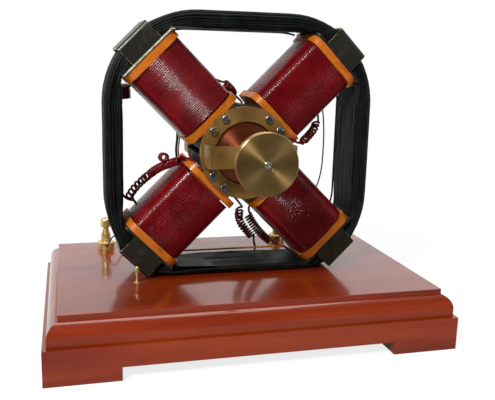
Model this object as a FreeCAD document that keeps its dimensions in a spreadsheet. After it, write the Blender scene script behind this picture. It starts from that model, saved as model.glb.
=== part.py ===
import FreeCAD, Part
import math
import os
import Sketcher
from FreeCAD import Placement, Rotation, Vector

# Demonstration electric motor on a moulded wooden base.
# Frame: Z up, X along the long side of the base, +Y away from the viewer,
# origin at the bottom centre of the base, all lengths in millimetres.

SIZES = {
    # wooden base
    "plinth_length": 289.8,
    "plinth_depth": 188.7,
    "plinth_height": 24.2,
    "rail_thickness": 20.0,
    "foot_length": 49.4,
    "foot_depth": 44.0,
    "notch_height": 9.3,
    "board_length": 270.0,
    "board_depth": 168.8,
    "board_height": 19.1,
    "ovolo_radius": 10.0,
    "ovolo_reach": 7.1,
    "ovolo_rise": 15.8,
    "wood_screw_head_radius": 3.8,
    "wood_screw_head_height": 2.0,
    "wood_screw_radius": 2.0,
    "wood_screw_length": 27.0,
    "wood_screw_inset": 11.0,
    # shaft line and the clearances
    "shaft_rise": 93.2,
    "overrun": 1.0,
    "seat_gap": 0.05,
    "running_gap": 0.03,
    "iron_half_depth": 25.0,
    # wound magnets, measured outwards from the shaft line
    "flange_start": 34.2,
    "inner_flange": 5.0,
    "winding_length": 51.2,
    "outer_flange": 6.2,
    "card_thickness": 0.8,
    "plate_thickness": 1.2,
    "flange_half_width": 24.5,
    "flange_half_depth": 25.2,
    "flange_corner": 10.0,
    "plate_corner": 4.0,
    "card_inset": 1.2,
    "core_half_width": 13.0,
    "core_half_depth": 14.0,
    "bobbin_wall": 2.0,
    "winding_half_width": 23.5,
    "winding_half_depth": 24.4,
    "winding_corner": 9.0,
    "winding_wire": 1.55,
    "winding_end_place": 6.0,
    # pole shoes
    "rotor_radius": 22.4,
    "air_gap": 1.0,
    "shoe_radius": 32.9,
    "shoe_shoulder": 15.0,
    # iron straps and wire yoke
    "strap_sheet": 1.4,
    "strap_half_width": 14.0,
    "strap_cavity": 14.4,
    "strap_corner": 3.2,
    "strap_seam": 1.2,
    "strap_play": 0.2,
    "strap_screw_radius": 2.0,
    "strap_screw_depth": 14.0,
    "yoke_front": 23.4,
    "yoke_back": 19.0,
    "yoke_half_size": 100.5,
    "yoke_thickness": 13.0,
    "yoke_clamped_thickness": 11.7,
    "yoke_foot_thickness": 8.5,
    "yoke_rounding": 4.2,
    "yoke_foot_rounding": 3.4,
    "strand_wire": 1.5,
    # brass rings, bridges and their screws
    "ring_radius": 33.8,
    "ring_bore": 23.1,
    "ring_thickness": 4.0,
    "ring_screw_reach": 28.9,
    "ring_screw_half_pitch": 6.1,
    "screw_radius": 1.5,
    "screw_depth": 10.0,
    "screw_head_radius": 2.95,
    "screw_head_height": 2.1,
    "screw_head_rounding": 0.9,
    "screw_slot_width": 0.7,
    "screw_slot_depth": 0.9,
    "bridge_half_span": 32.2,
    "bridge_half_width": 7.8,
    "bridge_rise": 21.0,
    "bridge_sheet": 2.6,
    "bridge_foot": 7.4,
    "bridge_rounding": 1.5,
    "bridge_screw_reach": 26.6,
    "bearing_radius": 4.0,
    "bearing_flange_radius": 6.0,
    "bearing_flange": 1.5,
    "bearing_inner_length": 1.4,
    # turning parts
    "shaft_radius": 2.5,
    "shaft_front": 85.3,
    "shaft_back": 60.0,
    "shaft_tail_radius": 2.2,
    "shaft_tail_length": 8.0,
    "shaft_chamfer": 0.5,
    "centre_mark_radius": 1.1,
    "centre_mark_depth": 0.8,
    "rotor_half_length": 27.0,
    "rotor_shell": 2.0,
    "rotor_cap": 2.5,
    "collar_radius": 4.6,
    "collar_length": 4.0,
    "collar_play": 0.4,
    "disc_radius": 21.4,
    "disc_thickness": 6.0,
    "disc_front": 84.0,
    "disc_chamfer": 0.5,
    "disc_hub_radius": 6.0,
    "disc_hub_length": 8.0,
    "seam_radius": 4.0,
    "seam_right": 1.0,
    "seam_drop": 3.2,
    "seam_width": 0.35,
    "seam_depth": 0.5,
    # binding posts
    "post_row": 66.0,
    "post_outer": 96.0,
    "post_inner": 56.0,
    "post_flange_radius": 7.15,
    "post_flange_height": 6.0,
    "post_flange_chamfer": 0.7,
    "post_radius": 4.0,
    "post_height": 11.5,
    "wire_hole_radius": 1.0,
    "wire_hole_height": 8.2,
    "lead_hole_radius": 0.85,
    "lead_hole_height": 3.4,
    "lead_hole_depth": 2.5,
    "stud_radius": 2.0,
    "stud_below": 6.5,
    "nut_half_flat": 3.5,
    "nut_height": 3.2,
    "nut_washer_radius": 4.6,
    "nut_washer_height": 0.9,
    "thread_play": 0.08,
    "washer_radius": 3.9,
    "washer_height": 1.2,
    "knob_stem_radius": 1.5,
    "knob_stem_length": 3.3,
    "knob_cone_radius": 3.6,
    "knob_cone_height": 4.2,
    "knob_neck_radius": 2.4,
    "knob_neck_height": 1.7,
    "knob_radius": 4.4,
    "knob_height": 7.2,
    "knob_rounding": 1.7,
    "knob_under_rounding": 0.8,
    "knob_hole_radius": 1.25,
    "knob_hole_depth": 4.0,
    # brass pins beside the straps
    "pin_reach": 79.7,
    "pin_front": 29.7,
    "pin_back": 25.2,
    "pin_shank_radius": 0.8,
    "pin_bulb_swell": 0.7,
    "pin_bulb_start": 5.2,
    "pin_bulb_end": 12.2,
    "pin_height": 12.6,
    "pin_flare_radius": 2.4,
    "pin_flare_height": 0.5,
    "pin_depth": 9.0,
    # loose wires
    "curl_wire": 1.3,
    "curl_radius": 2.45,
    "loop_radius": 3.9,
    "lead_wire": 2.0,
    "thin_lead_wire": 1.2,
    "copper_lead_wire": 1.2,
    "lead_end_gap": 0.02,
}

ROOT_TWO = math.sqrt(2)
HALF_DIAGONAL_SHARE = math.sqrt(0.5)
SHOE_SPREAD = math.radians(41)
WINDING_TURNS = 24
QUARTERS = 4
ARMS = {"upper_right": 45, "lower_right": 135, "lower_left": 225, "upper_left": 315}
SLOT_ANGLES = [20, 75, 130, 165, 40, 100, 150, 10]
FACING_BACK = Rotation(Vector(1, 0, 0), -90)
FACING_FRONT = Rotation(Vector(1, 0, 0), 90)
HALF_TURN = Rotation(Vector(0, 0, 1), 180)

# shares and counts of the shapes
RUN_CUT_SHARE = 0.45
COIL_STEP_SHARE = 3
CLOSE_ENOUGH = 1e-6
SAME_WAY = 1e-9
ON_DIAGONAL = 1e-4


class CurlyLead:
    """Where a curly wire starts, the axis it winds round, its plain tail and its end."""

    def __init__(self, start, axis, curls, turn_share, tail, finish):
        self.start, self.finish = start, finish
        self.axis, self.tail = axis, tail
        self.curls, self.turn_share = curls, turn_share


LOWER_LEFT_LEAD = CurlyLead(
    start=("winding", "lower_left", 84.0, 1, 6.0),
    axis=[(-81.6, 8.0, 99.6), (-78.0, 8.0, 104.9), (-72.6, 8.0, 110.4), (-66.9, 8.0, 116.0),
          (-60.9, 7.0, 121.0), (-57.0, 3.0, 126.0), (-54.6, -3.0, 130.0), (-50.9, -8.0, 130.5),
          (-47.1, -12.0, 127.8)],
    curls=20, turn_share=0.0,
    tail=[(-49.0, -12.0, 128.0), (-46.0, -20.0, 131.5), (-40.2, -26.5, 129.4),
          (-35.0, -27.0, 125.4)],
    finish=("ring", 199, -27.0))
UPPER_RIGHT_LEAD = CurlyLead(
    start=("winding", "upper_right", 66.0, 1, -2.0),
    axis=[(66.6, -2.0, 157.2), (61.9, -2.0, 152.4), (57.3, -4.0, 147.9), (52.4, -8.0, 143.2)],
    curls=6, turn_share=0.2,
    tail=[(51.0, -10.0, 142.5), (46.6, -17.0, 141.2), (42.0, -24.5, 143.6),
          (36.0, -27.0, 147.2)],
    finish=("ring", 18, -27.0))
LOWER_NEAR_LEAD = CurlyLead(
    start=("winding", "lower_right", 45.0, 1, 13.0),
    axis=[(15.6, 12.0, 81.4), (20.6, 15.0, 73.6), (25.4, 19.5, 65.0), (30.6, 23.8, 57.6)],
    curls=7, turn_share=0.1,
    tail=[(32.0, 24.0, 57.0), (37.5, 24.6, 50.5), (46.5, 23.6, 49.6), (53.0, 22.4, 47.6),
          (54.6, 22.0, 44.0)],
    finish=("board", 54.6, 22.0))
LOWER_FAR_LEAD = CurlyLead(
    start=("winding", "lower_left", 45.0, -1, 15.0),
    axis=[(8.6, 16.0, 81.4), (12.6, 19.0, 74.0), (15.8, 23.8, 66.6)],
    curls=4, turn_share=0.35,
    tail=[(16.0, 24.0, 66.0), (19.4, 26.4, 58.0), (23.0, 27.0, 51.0), (24.0, 27.0, 44.0)],
    finish=("board", 24.0, 27.0))
TOP_LEAD = CurlyLead(
    start=("winding", "upper_left", 50.0, 1, 15.0),
    axis=[(-4.6, 19.0, 182.6), (1.0, 24.0, 177.4), (6.6, 30.0, 174.4)],
    curls=5, turn_share=0.0,
    tail=[],
    finish=("ring", 72, 27.0))
UPPER_LEFT_LEAD = CurlyLead(
    start=("winding", "upper_left", 88.0, -1, 15.0),
    axis=[(-82.0, 25.4, 182.0), (-80.8, 25.6, 177.0), (-80.0, 25.8, 171.6)],
    curls=4, turn_share=0.7,
    tail=[(-80.0, 26.0, 170.0), (-83.2, 23.4, 160.0), (-84.6, 21.2, 148.0), (-84.7, 21.0, 128.0),
          (-84.4, 20.4, 110.0), (-80.8, 16.4, 99.2), (-77.0, 15.0, 95.0)],
    finish=("winding", "lower_left", 84.0, 1, 15.0))

# plain leads between their two ends, each end given by what it meets
LEFT_LEAD_ROUTE = [(-45.0, 29.6, 159.6), (-43.4, 32.4, 155.0), (-40.6, 32.6, 147.6),
                   (-41.0, 31.0, 139.4), (-42.2, 30.6, 131.6), (-41.0, 31.4, 124.0),
                   (-42.6, 32.4, 117.4), (-45.0, 29.6, 113.4)]
RIGHT_LEAD_ROUTE = [(69.3, 28.6, 187.0), (72.4, 31.4, 183.4), (78.8, 31.4, 174.4),
                    (81.4, 30.4, 162.0), (82.3, 30.0, 147.0), (81.8, 30.0, 130.3),
                    (80.9, 30.0, 113.6), (78.6, 31.0, 99.4), (72.4, 31.4, 90.0),
                    (69.3, 28.6, 86.4)]
TERMINAL_LEAD_ROUTE = [(-96.0, 55.6, 46.7), (-93.6, 54.8, 51.4), (-90.8, 55.2, 56.6),
                       (-87.0, 55.8, 54.4), (-85.2, 54.6, 48.6), (-80.4, 51.0, 45.4),
                       (-72.0, 46.0, 44.6), (-60.0, 39.0, 44.6), (-52.0, 32.0, 44.7),
                       (-46.0, 27.0, 46.0)]
COPPER_LEAD_ROUTE = [(-43.0, 29.6, 161.6), (-41.2, 32.6, 156.6), (-38.5, 32.8, 148.4),
                     (-38.9, 31.2, 139.6), (-40.1, 30.8, 131.6), (-38.9, 31.6, 123.8),
                     (-40.4, 32.6, 115.8), (-43.0, 29.6, 111.4)]


# lengths that carry their expression
class Size:
    """A length with the expression that gives it from the sheet."""

    def __init__(self, number, text):
        self.number = number
        self.text = text

    def joined(self, sign, other, number):
        return Size(number, "(%s %s %s)" % (self.text, sign, text_of(other)))

    def __add__(self, other):
        return self.joined("+", other, self.number + number_of(other))

    def __sub__(self, other):
        return self.joined("-", other, self.number - number_of(other))

    def __mul__(self, other):
        return self.joined("*", other, self.number * number_of(other))

    def __truediv__(self, other):
        return self.joined("/", other, self.number / number_of(other))

    def __neg__(self):
        return Size(-self.number, "(0 - %s)" % self.text)


def number_of(value):
    return value.number if isinstance(value, Size) else float(value)


def text_of(value):
    return value.text if isinstance(value, Size) else repr(float(value))


def root(value):
    return Size(math.sqrt(value.number), "sqrt(%s)" % value.text)


def vector(x, y, z):
    return Vector(number_of(x), number_of(y), number_of(z))


class SizeSet:
    """Every named size as an attribute."""


def make_sheet():
    sheet = doc.addObject("Spreadsheet::Sheet", "Sizes")
    sizes = SizeSet()
    for row, (name, number) in enumerate(SIZES.items(), start=1):
        sheet.set("A%d" % row, name)
        sheet.set("B%d" % row, str(number))
        sheet.setAlias("B%d" % row, name)
        setattr(sizes, name, Size(number, "Sizes." + name))
    doc.recompute()
    return sizes


doc = FreeCAD.newDocument("Motor")
s = make_sheet()
nodes = {}


# placing and binding
def bind(item, name, value):
    setattr(item, name, number_of(value))
    if isinstance(value, Size):
        item.setExpression(name, value.text)


def place(item, x=0, y=0, z=0, turn=None):
    item.Placement = Placement(vector(x, y, z), turn or Rotation())
    for axis, value in (("x", x), ("y", y), ("z", z)):
        if isinstance(value, Size):
            item.setExpression("Placement.Base." + axis, value.text)
    return item


# sketches on the origin planes
def plane_of(body, plane):
    role = plane + "_Plane"
    return next(item for item in body.Origin.OriginFeatures if item.Role == role)


def draw_plan(body, tag, plane, offset, outlines):
    """Sketch at a height along Z, a depth along Y or a distance along X."""
    sketch = body.newObject("Sketcher::SketchObject", body.Name + "_" + tag + "_plan")
    sketch.AttachmentSupport = (plane_of(body, plane), [""])
    sketch.MapMode = "FlatFace"
    along = offset if plane != "XZ" else (-offset if isinstance(offset, Size) else 0)
    sketch.AttachmentOffset = Placement(vector(0, 0, along), Rotation())
    if isinstance(along, Size):
        sketch.setExpression("AttachmentOffset.Base.z", along.text)
    for outline in outlines:
        if outline[0] == "circle":
            draw_circle(sketch, *outline[1:])
        else:
            draw_outline(sketch, outline)
    return sketch


def fix_point(sketch, index, end, x, y):
    for kind, value, axis in (("DistanceX", x, -2), ("DistanceY", y, -1)):
        if isinstance(value, Size):
            row = sketch.addConstraint(Sketcher.Constraint(kind, -1, 1, index, end, value.number))
            sketch.setExpression("Constraints[%d]" % row, value.text)
        else:
            sketch.addConstraint(Sketcher.Constraint("PointOnObject", index, end, axis))


def fix_radius(sketch, index, radius):
    row = sketch.addConstraint(Sketcher.Constraint("Radius", index, number_of(radius)))
    sketch.setExpression("Constraints[%d]" % row, text_of(radius))


def draw_circle(sketch, x, y, radius):
    circle = Part.Circle(vector(x, y, 0), Vector(0, 0, 1), number_of(radius))
    index = sketch.addGeometry(circle, False)
    fix_point(sketch, index, 3, x, y)
    fix_radius(sketch, index, radius)


def arc_between(start, finish, radius, leftward):
    """Arc under a half turn whose centre lies left or right of its chord."""
    chord = finish - start
    side = Vector(-chord.y, chord.x, 0).normalize() * (1 if leftward else -1)
    reach = math.sqrt(max(radius ** 2 - chord.Length ** 2 / 4, 0))
    centre = (start + finish) * 0.5 + side * reach
    first, last = (start, finish) if leftward else (finish, start)
    angles = [math.atan2(point.y - centre.y, point.x - centre.x) for point in (first, last)]
    return Part.ArcOfCircle(Part.Circle(centre, Vector(0, 0, 1), radius), *angles)


def draw_outline(sketch, corners):
    """Corners are (x, y), or (x, y, radius, leftward) where an arc leads on to the next."""
    count = len(corners)
    ends = []
    for row, corner in enumerate(corners):
        following = corners[(row + 1) % count]
        start = vector(corner[0], corner[1], 0)
        finish = vector(following[0], following[1], 0)
        if len(corner) == 2:
            index = sketch.addGeometry(Part.LineSegment(start, finish), False)
            ends.append((index, 1, 2))
        else:
            arc = arc_between(start, finish, number_of(corner[2]), corner[3])
            index = sketch.addGeometry(arc, False)
            ends.append((index, 1, 2) if corner[3] else (index, 2, 1))
    for row, corner in enumerate(corners):
        index, start_end, finish_end = ends[row]
        next_index, next_start, _ = ends[(row + 1) % count]
        sketch.addConstraint(
            Sketcher.Constraint("Coincident", index, finish_end, next_index, next_start))
        fix_point(sketch, index, start_end, corner[0], corner[1])
        if len(corner) > 2:
            fix_radius(sketch, index, corner[2])


def rectangle(x_low, x_high, y_low, y_high):
    return [(x_low, y_low), (x_high, y_low), (x_high, y_high), (x_low, y_high)]


def rounded(x_low, x_high, y_low, y_high, corner):
    return [
        (x_low + corner, y_low), (x_high - corner, y_low, corner, True),
        (x_high, y_low + corner), (x_high, y_high - corner, corner, True),
        (x_high - corner, y_high), (x_low + corner, y_high, corner, True),
        (x_low, y_high - corner), (x_low, y_low + corner, corner, True),
    ]


def centred(half_x, half_y, corner=None):
    if corner is None:
        return rectangle(-half_x, half_x, -half_y, half_y)
    return rounded(-half_x, half_x, -half_y, half_y, corner)


# solid features
def new_body(name):
    body = doc.addObject("PartDesign::Body", name)
    body.Label = name
    return body


def span(low, high):
    return high - low if isinstance(high, Size) else -(low - high)


def pad(body, tag, plane, low, high, *outlines):
    """Fill the outlines from low to high along the plane's own axis."""
    start = high if plane == "XZ" else low
    feature = body.newObject("PartDesign::Pad", body.Name + "_" + tag)
    feature.Profile = draw_plan(body, tag, plane, start, outlines)
    bind(feature, "Length", span(low, high))


def pocket(body, tag, plane, low, high, *outlines):
    """Cut the outlines away from low to high along the plane's own axis."""
    start = low if plane == "XZ" else high
    feature = body.newObject("PartDesign::Pocket", body.Name + "_" + tag)
    feature.Profile = draw_plan(body, tag, plane, start, outlines)
    bind(feature, "Length", span(low, high))


def turned(name, outline):
    """A body turned about its own Z axis from an outline of radius and height."""
    body = new_body(name)
    sketch = draw_plan(body, "turned", "XZ", 0, [outline])
    feature = body.newObject("PartDesign::Revolution", name + "_turned")
    feature.Profile = sketch
    feature.ReferenceAxis = (sketch, ["V_Axis"])
    feature.Angle = 360
    return body


def round_edges(body, tag, radius, wanted):
    doc.recompute()
    tip = body.Tip
    names = ["Edge%d" % row for row, edge in enumerate(tip.Shape.Edges, start=1) if wanted(edge)]
    feature = body.newObject("PartDesign::Fillet", body.Name + "_" + tag)
    feature.Base = (tip, names)
    bind(feature, "Radius", radius)


def lies_at(edge, axis, value):
    close = number_of(s.seat_gap)
    return all(abs(getattr(vertex.Point, axis) - number_of(value)) < close for vertex in edge.Vertexes)


def keep(item):
    nodes[item.Label] = item
    return item


def group(name, items):
    compound = doc.addObject("Part::Compound", name)
    compound.Links = items
    compound.Label = name
    return keep(compound)


def shaped(name, shape):
    item = doc.addObject("Part::Feature", name)
    item.Shape = shape
    item.Label = name
    return item


# heights shared by several pieces
board_top = s.plinth_height + s.board_height
shaft_z = board_top + s.shaft_rise
winding_start = s.flange_start + s.inner_flange
winding_end = winding_start + s.winding_length
card_start = winding_end + s.outer_flange
web_start = card_start + s.card_thickness + s.plate_thickness
cavity_start = web_start + s.strap_sheet
cavity_end = cavity_start + s.strap_cavity
yoke_outer = cavity_end - s.strap_play
yoke_inner = yoke_outer - s.yoke_clamped_thickness
ring_face = s.iron_half_depth + s.ring_thickness
bridge_front = ring_face + s.bridge_rise
bearing_inner_end = bridge_front - s.bridge_sheet - s.bearing_inner_length


def across(arm, reach, side):
    """X and Z from the shaft line of a place on a magnet's arm."""
    angle = math.radians(ARMS[arm])
    return (reach * math.sin(angle) + side * math.cos(angle),
            reach * math.cos(angle) - side * math.sin(angle))


def on_arm(item, arm):
    return place(item, z=shaft_z, turn=Rotation(Vector(0, 1, 0), ARMS[arm]))


# wooden base
def rail_screw_places():
    front = s.plinth_depth / 2 - s.wood_screw_inset
    side = s.plinth_length / 2 - s.wood_screw_inset
    return [(-s.foot_length, -front), (s.foot_length, -front), (-s.foot_length, front),
            (s.foot_length, front), (-side, 0), (side, 0)]


def make_rail(name, half_long, half_deep, foot, screw_places, turn):
    body = new_body(name)
    inner_long = half_long - s.rail_thickness
    inner_deep = half_deep - s.rail_thickness
    plan = [(-half_long, -half_deep), (half_long, -half_deep),
            (inner_long, -inner_deep), (-inner_long, -inner_deep)]
    pad(body, "board", "XY", 0, s.plinth_height, plan)
    notch = rectangle(foot - half_long, half_long - foot, -s.overrun, s.notch_height)
    pocket(body, "notch", "XZ", -half_deep - s.overrun, s.overrun - inner_deep, notch)
    row = s.wood_screw_inset - half_deep
    holes = [("circle", x, row, s.wood_screw_radius + s.seat_gap) for x in screw_places]
    pocket(body, "holes", "XY", s.notch_height - s.overrun, s.plinth_height + s.overrun, *holes)
    sinks = [("circle", x, row, s.wood_screw_head_radius + s.seat_gap) for x in screw_places]
    sink_top = s.notch_height + s.wood_screw_head_height
    pocket(body, "sinks", "XY", s.notch_height - s.overrun, sink_top, *sinks)
    place(body, turn=turn)
    keep(body)


def make_plinth():
    half_long = s.plinth_length / 2
    half_deep = s.plinth_depth / 2
    pair = [-s.foot_length, s.foot_length]
    make_rail("plinth_rail_front", half_long, half_deep, s.foot_length, pair, Rotation())
    make_rail("plinth_rail_back", half_long, half_deep, s.foot_length, pair, HALF_TURN)
    quarter = Rotation(Vector(0, 0, 1), 90)
    make_rail("plinth_rail_right", half_deep, half_long, s.foot_depth, [0], quarter)
    make_rail("plinth_rail_left", half_deep, half_long, s.foot_depth, [0], quarter.inverted())


def make_wood_screws():
    radius, head = s.wood_screw_radius, s.wood_screw_head_radius
    outline = [(0, 0), (head, 0), (head, s.wood_screw_head_height),
               (radius, s.wood_screw_head_height), (radius, s.wood_screw_length - radius),
               (0, s.wood_screw_length)]
    slot_width = s.wood_screw_head_height / 2
    screws = []
    for row, (x, y) in enumerate(rail_screw_places(), start=1):
        screw = turned("wood_screw_%d" % row, outline)
        slot = centred(head + s.overrun, slot_width / 2)
        pocket(screw, "slot", "XY", -s.overrun, slot_width, slot)
        screws.append(place(screw, x, y, s.notch_height))
    group("wood_screws", screws)


def post_places():
    return [(-s.post_outer, s.post_row), (-s.post_inner, s.post_row),
            (s.post_inner, s.post_row), (s.post_outer, s.post_row)]


def pin_places():
    return [(-s.pin_reach, -s.pin_front), (s.pin_reach, s.pin_back)]


def make_top_board():
    body = new_body("top_board")
    half_long = s.board_length / 2
    half_deep = s.board_depth / 2
    moulding_top = s.plinth_height + s.ovolo_rise
    pad(body, "moulding", "XY", s.plinth_height, moulding_top,
        centred(half_long + s.ovolo_reach, half_deep + s.ovolo_reach))
    round_edges(body, "ovolo", s.ovolo_radius, lambda edge: lies_at(edge, "z", moulding_top))
    pad(body, "field", "XY", s.plinth_height, board_top, centred(half_long, half_deep))
    under = s.plinth_height - s.overrun
    over = board_top + s.overrun
    studs = [("circle", x, y, s.stud_radius + s.seat_gap) for x, y in post_places()]
    pocket(body, "studs", "XY", under, over, *studs)
    pins = [("circle", x, y, s.pin_shank_radius + s.seat_gap) for x, y in pin_places()]
    pocket(body, "pins", "XY", board_top - s.pin_depth, over, *pins)
    screws = [("circle", x, y, s.wood_screw_radius + s.seat_gap) for x, y in rail_screw_places()]
    screw_top = s.notch_height + s.wood_screw_length
    pocket(body, "screws", "XY", under, screw_top, *screws)
    keep(body)


# wound magnets
def make_pole_core(arm):
    body = new_body("pole_core_" + arm)
    inner = s.rotor_radius + s.air_gap
    outer = s.shoe_radius
    side_share, reach_share = math.sin(SHOE_SPREAD), math.cos(SHOE_SPREAD)
    shoulder = s.shoe_shoulder
    shoulder_foot = root(outer * outer - shoulder * shoulder)
    shoe = [
        (-inner * side_share, inner * reach_share, inner, False),
        (inner * side_share, inner * reach_share),
        (outer * side_share, outer * reach_share, outer, True),
        (shoulder, shoulder_foot), (shoulder, s.flange_start),
        (-shoulder, s.flange_start), (-shoulder, shoulder_foot, outer, True),
        (-outer * side_share, outer * reach_share),
    ]
    pad(body, "shoe", "XZ", -s.iron_half_depth, s.iron_half_depth, shoe)
    pad(body, "bar", "XY", s.flange_start, web_start, centred(s.core_half_width, s.core_half_depth))
    bore = s.screw_radius + s.seat_gap
    bores = [("circle", side, s.ring_screw_reach, bore)
             for side in (-s.ring_screw_half_pitch, s.ring_screw_half_pitch)]
    face = s.iron_half_depth
    pocket(body, "front_bores", "XZ", -face - s.overrun, s.screw_depth - face, *bores)
    pocket(body, "back_bores", "XZ", face - s.screw_depth, face + s.overrun, *bores)
    pocket(body, "strap_bore", "XY", web_start - s.strap_screw_depth, web_start + s.overrun,
           ("circle", 0, 0, s.strap_screw_radius + s.seat_gap))
    keep(on_arm(body, arm))


def bar_hole():
    return centred(s.core_half_width + s.seat_gap, s.core_half_depth + s.seat_gap)


def make_bobbin(arm):
    body = new_body("bobbin_" + arm)
    flange = centred(s.flange_half_width, s.flange_half_depth, s.flange_corner)
    wall = s.seat_gap + s.bobbin_wall
    pad(body, "inner_flange", "XY", s.flange_start, winding_start, flange)
    pad(body, "tube", "XY", winding_start, winding_end,
        centred(s.core_half_width + wall, s.core_half_depth + wall))
    pad(body, "outer_flange", "XY", winding_end, card_start, flange)
    pocket(body, "bore", "XY", s.flange_start - s.overrun, card_start + s.overrun, bar_hole())
    hole = s.winding_wire / 2 + s.seat_gap
    row = s.winding_half_depth - s.winding_wire / 2
    depth = s.winding_wire + s.seat_gap
    pocket(body, "wire_in", "XY", winding_start - depth, winding_start,
           ("circle", s.winding_end_place, row, hole))
    pocket(body, "wire_out", "XY", winding_end, winding_end + depth,
           ("circle", -s.winding_end_place, row, hole))
    keep(on_arm(body, arm))


def make_cards_and_plates():
    cards, plates = [], []
    for arm in ARMS:
        card = new_body("card_" + arm)
        pad(card, "sheet", "XY", card_start, card_start + s.card_thickness,
            centred(s.flange_half_width - s.card_inset, s.flange_half_depth - s.card_inset))
        pocket(card, "hole", "XY", card_start - s.overrun, web_start + s.overrun, bar_hole())
        cards.append(on_arm(card, arm))
        plate = new_body("plate_" + arm)
        pad(plate, "sheet", "XY", card_start + s.card_thickness, web_start,
            centred(s.flange_half_width, s.flange_half_depth, s.plate_corner))
        pocket(plate, "hole", "XY", card_start - s.overrun, web_start + s.overrun, bar_hole())
        plates.append(on_arm(plate, arm))
    group("insulating_cards", cards)
    group("end_plates", plates)


# paths of lines and arcs for wires
def arc_edges(start, tangent, finish):
    """The one arc that leaves start along tangent and ends at finish, as an edge."""
    chord = finish - start
    along = Vector(chord).normalize()
    off = tangent - along * tangent.dot(along)
    if off.Length < CLOSE_ENOUGH:
        return [Part.LineSegment(start, finish).toShape()]
    slope = math.atan2(off.Length, tangent.dot(along))
    rise = chord.Length / 2 * math.tan(slope / 2)
    middle = (start + finish) * 0.5 + off.normalize() * rise
    return [Part.Arc(start, middle, finish).toShape()]


def biarc_edges(first, second):
    """Two arcs between two knots, each knot a point and a unit tangent."""
    (start, start_way), (finish, finish_way) = first, second
    step = finish - start
    both = start_way + finish_way
    bend = 2 * (1 - start_way.dot(finish_way))
    if bend < SAME_WAY:
        return arc_edges(start, start_way, finish)
    lean = step.dot(both)
    reach = (math.sqrt(lean ** 2 + bend * step.dot(step)) - lean) / bend
    joint = (start + finish + (start_way - finish_way) * reach) * 0.5
    second_way = (finish - finish_way * reach) - joint
    return arc_edges(start, start_way, joint) + arc_edges(joint, second_way.normalize(), finish)


def path_through(knots):
    edges = []
    for first, second in zip(knots, knots[1:]):
        edges += biarc_edges(first, second)
    return edges


def tube_along(name, edges, diameter):
    """A round wire along the edges, with its tightest bend printed."""
    start = edges[0].valueAt(edges[0].FirstParameter)
    way = edges[0].tangentAt(edges[0].FirstParameter)
    ring = Part.Wire([Part.Circle(start, way, diameter / 2).toShape()])
    shape = Part.Wire(edges).makePipeShell([ring], True, False)
    bends = [edge.Curve.Radius for edge in edges if hasattr(edge.Curve, "Radius")]
    length = sum(edge.Length for edge in edges)
    share = shape.Volume / (math.pi * diameter ** 2 / 4 * length)
    print("%s: length %.1f, tightest bend %.2f, volume share %.4f, solids %d"
          % (name, length, min(bends), share, len(shape.Solids)))
    return shape


def least_self_gap(edges, diameter):
    """Least gap between stretches of one wire that lie apart along it."""
    points, walked = [], 0.0
    for edge in edges:
        count = max(2, round(edge.Length / diameter))
        for point in edge.discretize(count)[:-1]:
            points.append((walked, point))
            walked += edge.Length / (count - 1)
    apart = diameter * math.pi
    least = min(
        (one - other).Length
        for row, (way, one) in enumerate(points)
        for other_way, other in points[row + 1:]
        if other_way - way > apart and abs(one.z - other.z) < COIL_STEP_SHARE * diameter)
    return least - diameter


def winding_knots():
    """Rounded square turns at one steady slope, both ends turned into the flanges."""
    wire = number_of(s.winding_wire)
    half_x = number_of(s.winding_half_width) - wire / 2
    half_y = number_of(s.winding_half_depth) - wire / 2
    corner = number_of(s.winding_corner) - wire / 2
    end_place = number_of(s.winding_end_place)
    low = number_of(winding_start)
    high = number_of(winding_end)
    quarter = math.pi / 2 * corner
    near_x, near_y = half_x - corner, half_y - corner
    around = 4 * (near_x + near_y + quarter)
    travel = WINDING_TURNS * around - 2 * (end_place + wire)
    slope = (high - low - 2 * wire) / travel
    places = [(near_x, half_y, 1, 0, quarter), (half_x, near_y, 0, -1, 2 * near_y),
              (half_x, -near_y, 0, -1, quarter), (near_x, -half_y, -1, 0, 2 * near_x),
              (-near_x, -half_y, -1, 0, quarter), (-half_x, -near_y, 0, 1, 2 * near_y),
              (-half_x, near_y, 0, 1, quarter), (-near_x, half_y, 1, 0, 2 * near_x)]
    up = Vector(0, 0, 1)
    knots = [(Vector(end_place, half_y, low - wire), up), (Vector(end_place, half_y, low), up)]
    start = Vector(end_place + wire, half_y, low + wire)
    knots.append((start, Vector(1, 0, slope).normalize()))
    walked = near_x - start.x
    for x, y, way_x, way_y, stretch in places * WINDING_TURNS:
        knots.append((Vector(x, y, start.z + walked * slope),
                      Vector(way_x, way_y, slope).normalize()))
        walked += stretch
    knots.append((Vector(-end_place - wire, half_y, high - wire), Vector(1, 0, slope).normalize()))
    knots.append((Vector(-end_place, half_y, high), up))
    knots.append((Vector(-end_place, half_y, high + wire), up))
    return knots


def make_windings():
    wire = number_of(s.winding_wire)
    edges = path_through(winding_knots())
    turns_shape = tube_along("winding", edges, wire)
    print("winding: least gap between turns %.3f" % least_self_gap(edges, wire))
    inset = s.winding_wire + s.lead_end_gap
    wall = s.seat_gap + s.bobbin_wall + s.seat_gap
    turns = []
    for arm in ARMS:
        core = new_body("winding_" + arm)
        pad(core, "bulk", "XY", winding_start + s.seat_gap, winding_end - s.seat_gap,
            centred(s.winding_half_width - inset, s.winding_half_depth - inset,
                    s.winding_corner - inset),
            centred(s.core_half_width + wall, s.core_half_depth + wall))
        keep(on_arm(core, arm))
        turns.append(on_arm(shaped("turns_" + arm, turns_shape.copy()), arm))
    group("winding_turns", turns)


# screws
def screw_outline(radius, depth):
    head, height, rounding = s.screw_head_radius, s.screw_head_height, s.screw_head_rounding
    return [(0, -depth), (radius, -depth), (radius, 0), (head, 0),
            (head, height - rounding, rounding, True), (head - rounding, height), (0, height)]


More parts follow.
